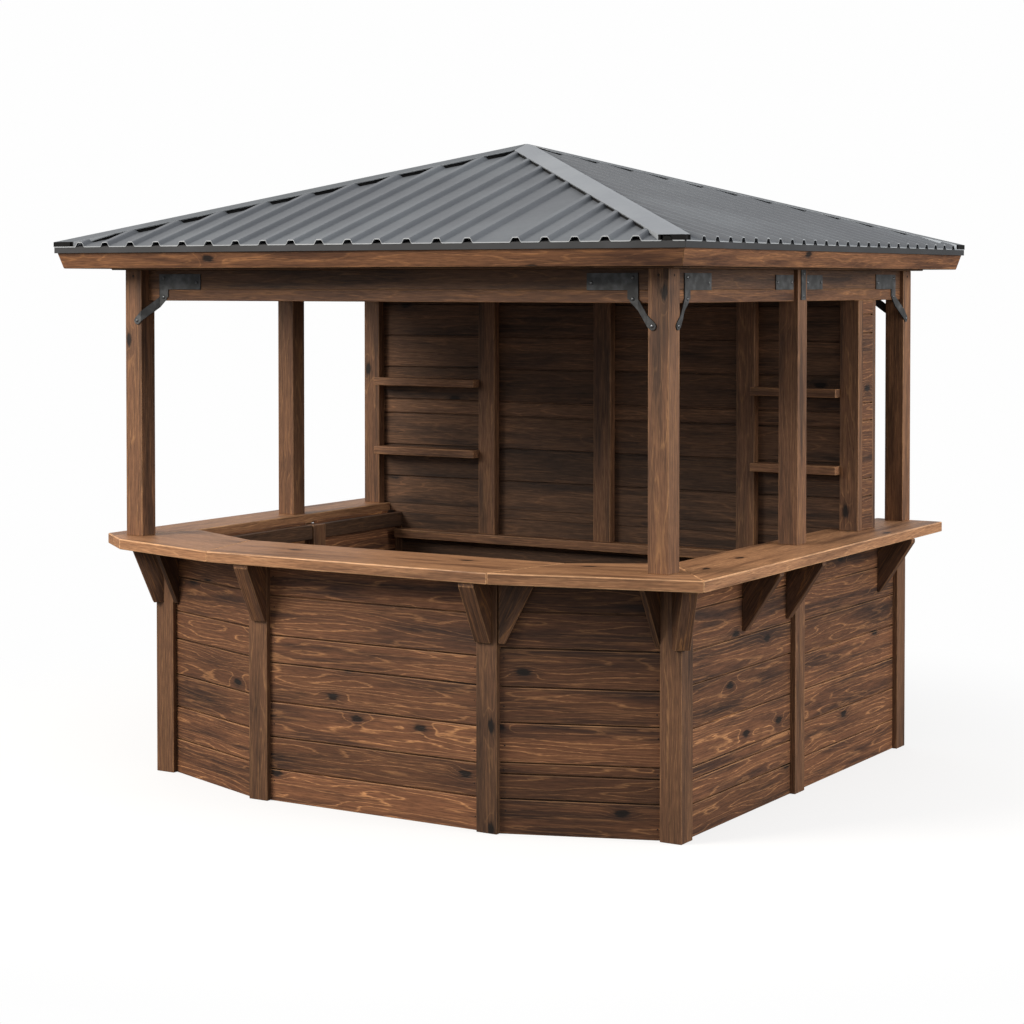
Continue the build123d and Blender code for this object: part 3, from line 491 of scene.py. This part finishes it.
# Strips of a board's profile that belong to its two rounded arrises.
ARRIS_STRIPS = [0, 1, 2, 4, 5, 6]
LAP = 0.010
STATIONS = 13


def board_profile(height, depth):
    """Section of a board as rows of (height, depth): the rounded low arris, then the high one,
    then the back with its lip."""
    turn = np.linspace(0, math.pi / 2, 4)
    half = depth / 2
    low = BOARD_ARRIS * np.stack([1 - np.sin(turn), 1 - np.cos(turn)], axis=1)[::-1]
    high = np.stack([height - low[::-1, 0], low[::-1, 1]], axis=1)
    lip = [[height + LAP, half + 0.001], [height + LAP, depth]]
    back = np.array([[height, half], *lip, [0, depth]])
    return np.concatenate([low, high, back])


def stacked_boards(origin, along, out, length, joints, depth, tones=(0.0, 1.0)):
    """Vertices, faces and attributes of the boards between the given joint heights.

    A point is origin + along * s + up * h - out * d, with s over the stations and (h, d) over the
    profile. Each board bows by up to a millimetre along its length."""
    up = np.array([0, 0, 1.0])
    s = np.linspace(0, length, STATIONS)
    places, faces, logs, board_tones, edges = [], [], [], [], []
    count = 0
    for low, high in zip(joints[:-1], joints[1:]):
        bottom = low + JOINT / 2 * (low > joints[0])
        height = high - JOINT / 2 * (high < joints[-1]) - bottom
        profile = board_profile(height, depth)
        if high == joints[-1]:
            profile[:, 0] = np.minimum(profile[:, 0], height)
        bow = draw.uniform(0.0003, 0.0011) * np.sin(s * draw.uniform(1.5, 4) + draw.uniform(0, 6))
        swell = draw.uniform(0, 0.0012)
        h = bottom + profile[None, :, 0] + (bow * (joints[0] < low) * (high < joints[-1]))[:, None]
        d = profile[None, :, 1] + np.zeros((STATIONS, 1)) + swell
        grid = origin + s[:, None, None] * along + h[..., None] * up - d[..., None] * out
        points = len(profile)
        index = np.arange(STATIONS * points).reshape(STATIONS, points) + count
        here, there = index[:-1], index[1:]
        quads = np.stack([here, there, np.roll(there, -1, 1), np.roll(here, -1, 1)], axis=2)
        faces += quads.reshape(-1, 4).tolist() + [index[0].tolist(), index[-1].tolist()[::-1]]
        arris = np.zeros((STATIONS - 1, points))
        arris[:, ARRIS_STRIPS] = BOARD_WEAR
        edges += [*arris.ravel(), 0.0, 0.0]
        lengthwise = np.broadcast_to(s[:, None] - length / 2, h.shape)
        offsets = [lengthwise, h - (low + high) / 2, d - depth / 2]
        local = np.stack(offsets, axis=2).reshape(-1, 3)
        logs.append(log_places(local, depth, height))
        board_tones.append(np.full(len(local), draw.uniform(*tones)))
        places.append(grid.reshape(-1, 3))
        count += STATIONS * points
    return np.concatenate(places), faces, np.concatenate(logs), np.concatenate(board_tones), edges


def facing_out(mesh):
    """Turns every face of a mesh outward."""
    form = bmesh.new()
    form.from_mesh(mesh)
    bmesh.ops.recalc_face_normals(form, faces=form.faces)
    form.to_mesh(mesh)
    form.free()


def gather(name, parts):
    """One mesh of several lots of vertices, faces and attributes."""
    faces, edges = [], []
    count = 0
    for lot in parts:
        faces += [[count + i for i in face] for face in lot[1]]
        edges += lot[4]
        count += len(lot[0])
    mesh = bpy.data.meshes.new(name)
    mesh.from_pydata(np.concatenate([lot[0] for lot in parts]).tolist(), [], faces)
    mesh.update()
    log = np.concatenate([lot[2] for lot in parts])
    store(mesh, log, np.concatenate([lot[3] for lot in parts]), edges)
    facing_out(mesh)
    return mesh


def node_solids(node):
    """The corners of each solid of a node, as one array for each solid."""
    form = bmesh.new()
    form.from_mesh(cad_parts[node].data)
    bmesh.ops.remove_doubles(form, verts=form.verts, dist=WELD)
    mesh = bpy.data.meshes.new("measured")
    form.to_mesh(mesh)
    form.free()
    places = mesh_array(mesh.vertices, "co", 3)
    label = solid_labels(mesh)
    bpy.data.meshes.remove(mesh)
    return [places[label == number] for number in range(label.max() + 1)]


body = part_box("wall_rails")
body_middle = np.array([body[0][0] + body[1][0], body[0][1] + body[1][1]]) / 2


def bay_of(corners):
    """Start, direction, outward normal, length and thickness of a slab of siding, from its eight
    corners: the outer face is the one further from the kiosk's middle."""
    foot = corners[corners[:, 2] < corners[:, 2].min() + SAME_PLACE][:, :2]
    middle = foot.mean(axis=0)
    along, out = np.linalg.svd(foot - middle)[2]
    if out @ (middle - body_middle) < 0:
        out = -out
    depth = (foot - middle) @ out
    reach = (foot[depth > 0] - middle) @ along
    start = middle + along * reach.min() + out * depth.max()
    spread = float(np.ptp(reach)), float(2 * depth.max())
    return np.array([*start, 0.0]), np.array([*along, 0.0]), np.array([*out, 0.0]), *spread


# %% Siding of the body
# Board widths from the top down, in metres; those of the bays that show follow the photo. The top
# board runs up behind the counter, so it is wider than what shows of it. On the left the siding
# stands inside the counter's edge and laps it a little, so that no light shows between them.
BODY_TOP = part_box("front_wall_middle")[1][2]
LEFT_LAP = 0.012
USUAL_TONES = (0.2, 0.9)
SIDING_TONES = {
    "front_wall_left": (-0.05, 0.65),
    "front_wall_middle": (0.25, 1.05),
    "front_wall_right": (-0.05, 0.80),
}
REAR_BAY_BOARDS = [0.145, 0.152, 0.150, 0.160, 0.148, 0.155, 0.142]
BAY_BOARDS = {
    "front_wall_middle": [[0.149, 0.175, 0.121, 0.171, 0.154, 0.142, 0.140]],
    "front_wall_right": [[0.132, 0.150, 0.160, 0.148, 0.166, 0.047, 0.103, 0.146]],
    "front_wall_left": [[0.140, 0.160, 0.128, 0.166, 0.150, 0.150, 0.158]],
    "side_wall_right": [[0.118, 0.167, 0.139, 0.181, 0.157, 0.051, 0.102, 0.137], REAR_BAY_BOARDS],
    "side_wall_left": [[0.130, 0.158, 0.150, 0.166, 0.140, 0.160, 0.148], REAR_BAY_BOARDS],
}


def joint_heights(widths, top):
    """Heights of the joints from the ground up, for board widths listed from the top down."""
    down = top - np.concatenate([[0], np.cumsum(widths)])
    down[-1] = 0
    return down[::-1].tolist()


bays = []
for node, stacks in BAY_BOARDS.items():
    lots = []
    top = BODY_TOP + LEFT_LAP * (node == "side_wall_left")
    tones = SIDING_TONES.get(node, USUAL_TONES)
    for corners, widths in zip(node_solids(node), stacks):
        origin, along, out, length, depth = bay_of(corners)
        joints = joint_heights(widths, top)
        lots.append(stacked_boards(origin, along, out, length, joints, depth, tones))
        bays.append((origin, along, out, length, joints))
    settle(f"{node}_boards", gather(node, lots), [wood["siding"]], "siding_timber", node)
print("bay lengths", [round(bay[3], 3) for bay in bays])

# %% [markdown]
# ## The back wall
# The back wall has horizontal boards on both faces of a plain frame. They run behind the studs
# from end to end. The ends of the wall between its two faces are closed by short upright-grained
# boards with open joints.

# %% Back wall boards
BEAM_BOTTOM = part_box("beam_lower_boards")[0][2]
COUNTER_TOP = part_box("counter_front")[1][2]
WALL_JOINTS = [0.205, 0.375, 0.550, 0.725, 0.900, 1.081]
WALL_JOINTS += [1.246, 1.413, 1.581, 1.656, 1.826, 1.992, 2.160]
SHORTEST_BOARD = 0.02


def wall_boards(node, facing):
    """Boards over the stepped outline of a wall panel: each board is as long as the panel is
    wide at every height that the board covers, and is cut where the panel steps."""
    corners = node_solids(node)[0]
    near = corners[:, 1].min() if facing < 0 else corners[:, 1].max()
    depth = float(np.ptp(corners[:, 1]))
    steps = np.unique(np.round(corners[:, 2], 4))
    lots = []
    for low, high in zip(steps[:-1], steps[1:]):
        foot = corners[np.abs(corners[:, 2] - low) < SAME_PLACE][:, 0]
        head = corners[np.abs(corners[:, 2] - high) < SAME_PLACE][:, 0]
        shared = foot[np.abs(foot[:, None] - head).min(axis=1) < SAME_PLACE]
        left, right = shared.min(), shared.max()
        inner = [z for z in WALL_JOINTS if low + SHORTEST_BOARD < z < high - SHORTEST_BOARD]
        origin = np.array([left if facing < 0 else right, near, 0.0])
        along = np.array([-facing * 1.0, 0, 0])
        out = np.array([0, facing * 1.0, 0])
        lots.append(stacked_boards(origin, along, out, right - left, [low, *inner, high], depth))
    return gather(node, lots)


WALL_FACES = [
    ("back_wall_front_boarding", "back_wall_boards", -1, "wall"),
    ("back_wall_rear_boarding", "back_wall_outer_boards", 1, "siding"),
]
for name, node, facing, use in WALL_FACES:
    settle(name, wall_boards(node, facing), [wood[use]], "siding_timber", node)
END_TONES = (0.15, 0.45)
END_JOINTS = [COUNTER_TOP, 1.259, 1.345, 1.621, 1.703, 2.034, 2.122, BEAM_BOTTOM]
end_lots = []
for corners in node_solids("back_end_boards"):
    side = np.sign(corners[:, 0].mean())
    front, back = corners[:, 1].min(), corners[:, 1].max()
    origin = np.array([side * np.abs(corners[:, 0]).max(), front if side > 0 else back, 0])
    along, out = np.array([0, side, 0]), np.array([side, 0, 0])
    thick = np.ptp(corners[:, 0])
    length = back - front
    end_lots.append(stacked_boards(origin, along, out, length, END_JOINTS, thick, END_TONES))
end_mesh = gather("back_end", end_lots)
settle("back_end_boarding", end_mesh, [wood["siding"]], "siding_timber", "back_end_boards")

# %% [markdown]
# ## Roof sheets
# A roof sheet is a flat pan with narrow raised ribs that run up the slope. It is cut along the
# two hips, so a line up the slope at x ends where the hips have closed in on x. The surface is a
# grid: x over the section of the ribs, and the way up the slope from the eave to the hip. The
# same grid again, a little lower, is the underside, and at the eave the sheet is turned down to
# a small lip whose cut edge is bare zinc; the lip's whole face takes that light colour, a painted
# highlight along the eave. Rolled sheet is never dead flat, so the pans waver by
# less than a millimetre.

# %% Roof sheets
RIB_HEIGHT = 0.020
SHEET = 0.002
SKIN = SHEET * 0.7
PAN_WAVER = 0.0007
RIB_FOOT_HALF = 0.028
RIB_CROWN_HALF = 0.012
RIB_SAMPLES = np.array([-34, -29, -25, -21, -17, -13, -9, 0, 9, 13, 17, 21, 25, 29, 34]) / 1000
HIP_CLEAR = 0.004
SLOPE_STATIONS = 9
EAVE_LIP = 0.0040
RIB_SHIFT = 0.055
NARROW = 0.75
# Materials of folded steel, by number: coated face (a painted highlight on the front right cap),
# light zinc of a cut edge that is a painted highlight on lips, black filler as painted shade, and the
# caps' duller coating.
FACE, ZINC_AND_HIGHLIGHT, SHADE_FILL, DULL = range(4)

roof_low, roof_high = (np.array(corner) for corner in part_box("hip_caps"))
roof_middle = (roof_low + roof_high) / 2
ROOF_HALF = (roof_high - roof_low)[:2] / 2
EAVE_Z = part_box("roof_sheet_front")[0][2]
ROOF_RISE = roof_high[2] - RIB_HEIGHT - 2 * SHEET - EAVE_Z
print("roof half sizes", ROOF_HALF.round(4), "eave", round(EAVE_Z, 4), "rise", round(ROOF_RISE, 4))


def closed_sheet(grid, thickness, end=ZINC_AND_HIGHLIGHT, edges=()):
    """Vertices, faces and material numbers of a thin sheet: a grid of points, the same grid lower
    by the thickness, and a rim between them. The rim takes the light zinc of a cut edge, and so do
    the strips of the grid numbered in edges, where it is a painted highlight. The rim of the grid's
    first column takes material end."""
    rows, columns = grid.shape[:2]
    under = grid - np.array([0, 0, 1.0]) * thickness[..., None]
    index = np.arange(rows * columns).reshape(rows, columns)
    corners = [index[:-1, :-1], index[1:, :-1], index[1:, 1:], index[:-1, 1:]]
    top = np.stack(corners, axis=-1).reshape(-1, 4)
    ring = np.concatenate([index[0, :-1], index[:-1, -1], index[-1, :0:-1], index[:0:-1, 0]])
    after = np.roll(ring, -1)
    rim = np.stack([ring, after, after + index.size, ring + index.size], axis=1)
    faces = np.concatenate([top, top[:, ::-1] + index.size, rim])
    upper = np.zeros((rows - 1, columns - 1), dtype=int)
    upper[list(edges)] = ZINC_AND_HIGHLIGHT
    at_end = (ring % columns == 0) & (after % columns == 0)
    lower = np.full(upper.size, FACE)
    kind = np.concatenate([upper.ravel(), lower, np.where(at_end, end, ZINC_AND_HIGHLIGHT)])
    return np.concatenate([grid.reshape(-1, 3), under.reshape(-1, 3)]), faces, kind


def steel_mesh(name, lots):
    """One mesh of several closed sheets."""
    counts = np.cumsum([0] + [len(lot[0]) for lot in lots])
    faces = np.concatenate([lot[1] + start for lot, start in zip(lots, counts)])
    mesh = bpy.data.meshes.new(name)
    mesh.from_pydata(np.concatenate([lot[0] for lot in lots]).tolist(), [], faces.tolist())
    mesh.polygons.foreach_set("material_index", np.concatenate([lot[2] for lot in lots]))
    mesh.update()
    facing_out(mesh)
    return mesh


def rib_lines(node, turn, half_span):
    """Places of a sheet's ribs along its eave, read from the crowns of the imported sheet."""
    places = mesh_array(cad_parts[node].data.vertices, "co", 3) - roof_middle
    x = places[:, 0] * math.cos(turn) + places[:, 1] * math.sin(turn)
    y = places[:, 1] * math.cos(turn) - places[:, 0] * math.sin(turn)
    height = places[:, 2] + roof_middle[2] - EAVE_Z
    crown = (y < -half_span + SAME_PLACE) & (height > RIB_HEIGHT + SHEET / 2)
    corners = np.unique(x[crown].round(4))
    return corners.reshape(-1, 2).mean(axis=1)


def sheet_grid(x, ribs, width, half_length, half_span):
    """Points of one sheet: a rib is a ramp of height smooth((foot - |x - rib|) / (foot - crown)),
    and each line runs from the eave to y = -half_span * (|x| + clear) / half_length."""
    away = np.abs(x[:, None] - ribs).min(axis=1) / width
    ramp = np.clip((RIB_FOOT_HALF - away) / (RIB_FOOT_HALF - RIB_CROWN_HALF), 0, 1)
    height = SHEET + RIB_HEIGHT * ramp * ramp * (3 - 2 * ramp)
    share = np.linspace(0, 1, SLOPE_STATIONS)
    top = 1 - (np.abs(x) + HIP_CLEAR) / half_length
    climb = np.clip(top, 0, 1)[:, None] * share
    waver = PAN_WAVER * np.sin(climb * 9 + np.cos(x[:, None] * 7) * 3)
    waver = waver * (1 - ramp[:, None]) * np.minimum(share * 6, 1)
    z = EAVE_Z + ROOF_RISE * climb + height[:, None] + np.minimum(waver, 0)
    return np.stack([np.broadcast_to(x[:, None], z.shape), -half_span * (1 - climb), z], axis=2)


def roof_side(name, quarter):
    """The sheet of one side, laid out at the front eave and turned by a number of quarters. The
    short sides have narrower ribs. Those of the long sides stand a little to the right of the
    packed ones, where the photo has them."""
    half_length, half_span = ROOF_HALF[quarter % 2], ROOF_HALF[1 - quarter % 2]
    turn = quarter * math.pi / 2
    width = NARROW if quarter % 2 else 1.0
    ribs = rib_lines(f"roof_sheet_{name}", turn, half_span) + RIB_SHIFT * math.cos(turn)
    end = half_length - HIP_CLEAR - SHEET
    x = np.append((ribs[:, None] + RIB_SAMPLES * width).ravel(), [-end, end])
    x = np.unique(x[np.abs(x) <= end].round(5))
    grid = sheet_grid(x, ribs, width, half_length, half_span)
    thickness = np.full(grid.shape[:2], SKIN)
    thickness[:, 0] = EAVE_LIP
    turned = grid.copy()
    turned[..., 0] = grid[..., 0] * math.cos(turn) - grid[..., 1] * math.sin(turn) + roof_middle[0]
    turned[..., 1] = grid[..., 0] * math.sin(turn) + grid[..., 1] * math.cos(turn) + roof_middle[1]
    mesh = steel_mesh(name, [closed_sheet(turned, thickness)])
    node = f"roof_sheet_{name}"
    settle(f"{node}_steel", mesh, [roof_steel, zinc_and_highlight_steel], "roof_steel", node)
    return len(ribs)


ROOF_SIDES = ["front", "right", "back", "left"]
print("ribs", [roof_side(name, quarter) for quarter, name in enumerate(ROOF_SIDES)])

# %% [markdown]
# ## Hip caps
# A cap is a strip folded along the hip, with a flange on each slope that rests on the ribs and
# ends in a narrow turned-down edge, which takes the light zinc colour as a painted highlight.
# Lines run along the hip at several distances from the fold.
# Each starts where it leaves the roof's eave and ends on the plane where the next cap begins. The
# front right cap lies mostly on the front slope, with only a narrow flange on the right one, and
# its coating is painted lighter than the others', a painted highlight for the light it catches.
# Strips of black filler, painted shade, close the gaps between the ribs under a cap and the cap's
# eave end.

# %% Hip caps
CAP_FLANGE = 0.085
NARROW_FLANGE = 0.030
CAP_LIP = 0.004
FILLER_SETBACK = 0.007
CAP_FOLD = 0.006
CAP_STATIONS = 12
CAP_LIFT = RIB_HEIGHT + SHEET
PEAK_CLEAR = 0.003


def cap_lines(corner, axis, distances, drops):
    """Lines along one hip on one of its slopes. A point is corner + s * hip + a * outward, where
    outward lies in the slope, square to the hip; s runs from the eave to the next cap."""
    hip = np.array([-corner[0], -corner[1], ROOF_RISE])
    other = 1 - axis
    level = np.zeros(3)
    level[other] = -np.sign(corner[other])
    outward = level - hip * (level @ hip) / (hip @ hip)
    outward = outward / np.linalg.norm(outward)
    shift = np.array(distances)[:, None] * outward
    start = -shift[:, axis] / hip[axis]
    stop = (np.sign(corner[other]) * PEAK_CLEAR - corner[other] - shift[:, other]) / hip[other]
    share = np.linspace(0, 1, CAP_STATIONS)
    s = start[:, None] * (1 - share) + stop[:, None] * share
    lines = corner + s[..., None] * hip + shift[:, None] + [roof_middle[0], roof_middle[1], EAVE_Z]
    lines[..., 2] += CAP_LIFT + SHEET - np.array(drops)[:, None]
    return lines


caps = []
for sign_x, sign_y in ((1, -1), (1, 1), (-1, 1), (-1, -1)):
    corner = np.array([sign_x * ROOF_HALF[0], sign_y * ROOF_HALF[1], 0.0])
    front_right_painted_lit = sign_x > 0 > sign_y
    side = NARROW_FLANGE if front_right_painted_lit else CAP_FLANGE
    long_slope = cap_lines(corner, 1, (CAP_FLANGE, CAP_FLANGE, CAP_FOLD), (CAP_LIP, 0, 0))
    short_slope = cap_lines(corner, 0, (0.0, CAP_FOLD, side, side), (SHEET / 2, 0, 0, CAP_LIP))
    grid = np.concatenate([long_slope, short_slope])
    thickness = np.full(grid.shape[:2], SKIN)
    thickness[:, 0] = CAP_LIFT
    # The cap's eave end takes the black filler, painted shade; its turned-down edges take the light
    # zinc, a painted highlight.
    points, faces, kind = closed_sheet(grid, thickness, SHADE_FILL, (0, len(grid) - 2))
    caps.append((points, faces, np.where(kind == FACE, FACE if front_right_painted_lit else DULL, kind)))
    # Black filler strips under each flange are painted shade between the ribs.
    for axis, flange in ((1, CAP_FLANGE), (0, side)):
        inset = (flange - FILLER_SETBACK, flange - 2 * FILLER_SETBACK)
        filler = cap_lines(corner, axis, inset, (SHEET, SHEET))
        points, faces, kind = closed_sheet(filler, np.full(filler.shape[:2], CAP_LIFT - SHEET))
        caps.append((points, faces, np.full_like(kind, SHADE_FILL)))
cap_mesh = steel_mesh("hip_caps", caps)
cap_materials = [cap_steel, zinc_and_highlight_steel, painted_shade_filler, dull_cap_steel]
settle("hip_caps_steel", cap_mesh, cap_materials, "roof_steel", "hip_caps")

# %% [markdown]
# ## Drip edges and brackets
# The drip edges and the flat-steel brackets keep the imported shapes. A folded or sawn edge has a
# small radius.

# %% Drip edges and brackets


def dress_steel(node, material, slot, radius):
    """Replaces a steel node by a copy with its folds rounded."""
    mesh = rounded_copy(node, radius)[0]
    return settle(f"{node}_steel", mesh, [material], slot, node)


dress_steel("drip_edges", drip_steel, "roof_steel", 0.0006)
dress_steel("steel_brackets", bracket_steel, "bracket_steel", 0.0008)

# %% [markdown]
# ## Bolts, screws and nails
# A head is a low dome: a point on it is place + radius * sin(q) * (cos(p) u + sin(p) v) plus
# height * cos(q) * normal, with q from the crown to the rim and p round it. All heads of one kind
# are one mesh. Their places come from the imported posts, siding and brackets.

# %% Heads
HEAD_SIDES = 14
HEAD_RINGS = 4
# A direction that no head faces.
ASLANT = [0.0, 0.31, 0.95]


def heads(name, places, normals, radius, height, material, slot):
    """One closed dome for each place and normal."""
    places, normals = np.array(places), np.array(normals, dtype=float)
    u = np.cross(normals, ASLANT)
    u /= np.linalg.norm(u, axis=1, keepdims=True)
    v = np.cross(normals, u)
    p = np.linspace(0, 2 * math.pi, HEAD_SIDES, endpoint=False)
    q = np.linspace(0, math.pi / 2, HEAD_RINGS + 1)[1:]
    wide = radius * np.sin(q)[:, None]
    high = (height * np.cos(q)[:, None] + 0 * p).ravel()
    first, second = (wide * np.cos(p)).ravel(), (wide * np.sin(p)).ravel()
    dome = places[:, None] + first[:, None] * u[:, None] + second[:, None] * v[:, None]
    dome = dome + high[:, None] * normals[:, None]
    crown = places + height * normals
    points = np.concatenate([dome, crown[:, None]], axis=1)
    index = np.arange(HEAD_RINGS * HEAD_SIDES).reshape(HEAD_RINGS, HEAD_SIDES)
    around = np.roll(index, -1, axis=1)
    walls = np.stack([index[:-1], index[1:], around[1:], around[:-1]], axis=-1).reshape(-1, 4)
    top = np.stack([np.full(HEAD_SIDES, index.size), index[0], around[0]], axis=1)
    faces = []
    for start in np.arange(len(places)) * points.shape[1]:
        faces += (walls + start).tolist() + (top + start).tolist() + [(index[-1] + start).tolist()]
    mesh = bpy.data.meshes.new(name)
    mesh.from_pydata(points.reshape(-1, 3).tolist(), [], faces)
    mesh.polygons.foreach_set("use_smooth", np.ones(len(faces), dtype=bool))
    facing_out(mesh)
    return settle(name, mesh, [material], slot)


# %% Bolts on the brackets
KNEE_HEIGHT = 0.15
FOOT_HEIGHT = 0.02
BOLT_INSET = 0.017
BOLT_HEAD = (0.0075, 0.004)
# Along the beam from the bracket's foot end, and down from its top, for each bolt.
KNEE_BOLTS = np.array([[0.133, 0.018], [0.133, 0.106], [0.326, 0.040], [0.017, 0.214]])
bolt_places, bolt_normals = [], []
for corners in node_solids("steel_brackets"):
    low, high = corners.min(axis=0), corners.max(axis=0)
    middle = (low + high) / 2
    size = high - low
    run = int(size[1] > size[0])
    face = 1 - run
    side = np.sign(middle[face])
    normal = np.zeros(3)
    normal[face] = side
    outer = high[face] if side > 0 else low[face]
    if size[run] > KNEE_HEIGHT and size[2] > KNEE_HEIGHT:
        foot = corners[corners[:, 2] < low[2] + FOOT_HEIGHT][:, run].mean()
        way = 1 if foot < middle[run] else -1
        start = low[run] if way > 0 else high[run]
        plate = corners[np.abs(corners[:, 2] - high[2]) < SAME_PLACE][:, face]
        plate = plate.max() if side > 0 else plate.min()
        for (along, drop), surface in zip(KNEE_BOLTS, [plate] * 3 + [outer]):
            place = np.zeros(3)
            place[run], place[face], place[2] = start + way * along, surface, high[2] - drop
            bolt_places.append(place)
            bolt_normals.append(normal)
    else:
        tall = size[2] > size[run]
        axis = 2 if tall else run
        for end in (low[axis] + BOLT_INSET, high[axis] - BOLT_INSET):
            place = middle.copy()
            place[axis], place[face] = end, outer
            bolt_places.append(place)
            bolt_normals.append(normal)
heads("bracket_bolts", bolt_places, bolt_normals, *BOLT_HEAD, bolt_steel, "bracket_steel")
print("bolts", len(bolt_places))

# %% Screws in the posts, nails in the siding
POST_SCREW_DROP = 0.028
SCREW_HEAD = (0.006, 0.002)
NAIL_FROM_END = 0.022
NAIL_WANDER = 0.006
NAIL_SUNK = 0.0015
NAIL_HEAD = (0.0038, 0.002)
screw_places, screw_normals = [], []
for node in ("front_posts", "middle_posts", "rear_posts"):
    for corners in node_solids(node):
        low, high = corners.min(axis=0), corners.max(axis=0)
        middle = (low + high) / 2
        side = np.sign(middle[0])
        x = high[0] if side > 0 else low[0]
        level = high[2] - POST_SCREW_DROP
        screw_places.append((x, middle[1], level))
        screw_normals.append((side, 0, 0))
        if node != "middle_posts":
            end = np.sign(middle[1])
            y = high[1] if end > 0 else low[1]
            screw_places.append((middle[0], y, level))
            screw_normals.append((0, end, 0))
nail_places, nail_normals = [], []
for origin, along, out, length, joints in bays:
    for low, high in zip(joints[:-1], joints[1:]):
        for s in (NAIL_FROM_END, length - NAIL_FROM_END):
            level = low + (high - low) * draw.uniform(0.25, 0.75)
            reach = s + draw.uniform(-NAIL_WANDER, NAIL_WANDER)
            place = origin + along * reach + np.array([0, 0, level])
            nail_places.append(place - out * NAIL_SUNK)
            nail_normals.append(out)
heads("post_screws", screw_places, screw_normals, *SCREW_HEAD, screw_steel, "bracket_steel")
heads("siding_nails", nail_places, nail_normals, *NAIL_HEAD, screw_steel, "bracket_steel")
print("screws", len(screw_places), "nails", len(nail_places))

# %% [markdown]
# ## Floor, background and light
# The kiosk stands on a white studio floor. The floor is part lit and part glowing, as a white
# sweep lit from behind is, so that the shadow on it stays faint. Further out it fades to the
# same white as the background. The lens sees it white, but it sends little light back up, so that
# the underside of the counter and the inside stay dark.

# %% Floor
FLOOR_RADIUS = 60.0
FLOOR_SIDES = 64
FLOOR_GLOW = 0.72
FLOOR_SEEN = 0.90
FLOOR_BOUNCE = 0.14
# Distances from the middle between which the floor fades to the background's white.
FLOOR_FADE = (2.2, 4.2)
WHITE = "#fefefe"
floor_mesh = bpy.data.meshes.new("floor")
turn = np.linspace(0, 2 * math.pi, FLOOR_SIDES, endpoint=False)
rim = np.stack([np.cos(turn), np.sin(turn), np.zeros_like(turn)], axis=1) * FLOOR_RADIUS
floor_mesh.from_pydata(rim.tolist(), [], [list(range(FLOOR_SIDES))])
floor = bpy.data.objects.new("floor", floor_mesh)
bpy.context.collection.objects.link(floor)

floor_material, tree, shader = new_material("white_studio_floor")
place = add(tree, "ShaderNodeTexCoord", out="Object")
distance = add(tree, "ShaderNodeVectorMath", {0: place}, "Value", operation="LENGTH")
far = {"Value": distance, "From Min": FLOOR_FADE[0], "From Max": FLOOR_FADE[1]}
far.update({"To Min": FLOOR_GLOW, "To Max": 1.0})
far = add(tree, "ShaderNodeMapRange", far, interpolation_type="SMOOTHSTEP")
to_lens = add(tree, "ShaderNodeLightPath", out="Is Camera Ray")
far = add(tree, "ShaderNodeMath", {0: far, 1: to_lens}, operation="MULTIPLY")
white = add(tree, "ShaderNodeEmission", {"Color": linear(WHITE), "Strength": 1.0})
pale = {"Value": to_lens, "To Min": FLOOR_BOUNCE, "To Max": FLOOR_SEEN}
tree.links.new(add(tree, "ShaderNodeMapRange", pale), shader.inputs["Base Color"])
shader.inputs["Roughness"].default_value = 0.9
shader.inputs["Specular IOR Level"].default_value = 0.0
blend = add(tree, "ShaderNodeMixShader", {0: far, 1: shader.outputs[0], 2: white})
tree.links.new(blend, tree.nodes["Material Output"].inputs["Surface"])
floor_mesh.materials.append(floor_material)

# %% World
AMBIENT = 0.72
world = bpy.data.worlds.new("studio")
world.use_nodes = True
bpy.context.scene.world = world
tree = world.node_tree
background = tree.nodes["Background"]
camera_ray = add(tree, "ShaderNodeLightPath", out="Is Camera Ray")
through = camera_ray.node.outputs["Is Transmission Ray"]
seen = add(tree, "ShaderNodeMath", {0: camera_ray, 1: through}, operation="MAXIMUM")
strength = add(tree, "ShaderNodeMapRange", {"Value": seen, "To Min": AMBIENT, "To Max": 1.0})
tree.links.new(strength, background.inputs["Strength"])
background.inputs["Color"].default_value = linear(WHITE)

# %% Lamps


def soft_box(name, place, aim, size, power, colour):
    """A square area lamp at a place, turned to face a point."""
    lamp = bpy.data.objects.new(name, bpy.data.lights.new(name, "AREA"))
    lamp.data.shape = "SQUARE"
    lamp.data.size = size
    lamp.data.energy = power
    lamp.data.color = linear(colour)[:3]
    direction = np.array(aim) - np.array(place)
    run = float(np.hypot(direction[0], direction[1]))
    lamp.location = place
    heading = math.atan2(direction[1], direction[0]) - math.pi / 2
    lamp.rotation_euler = (math.atan2(run, -direction[2]), 0, heading)
    bpy.context.collection.objects.link(lamp)


soft_box("key", (-5.5, -8.5, 7.2), (0, 0, 1.2), 5.0, 1300, "#fff6ea")
soft_box("fill", (9.5, 1.0, 4.0), (0, 0, 1.0), 4.0, 600, "#fbf7f2")
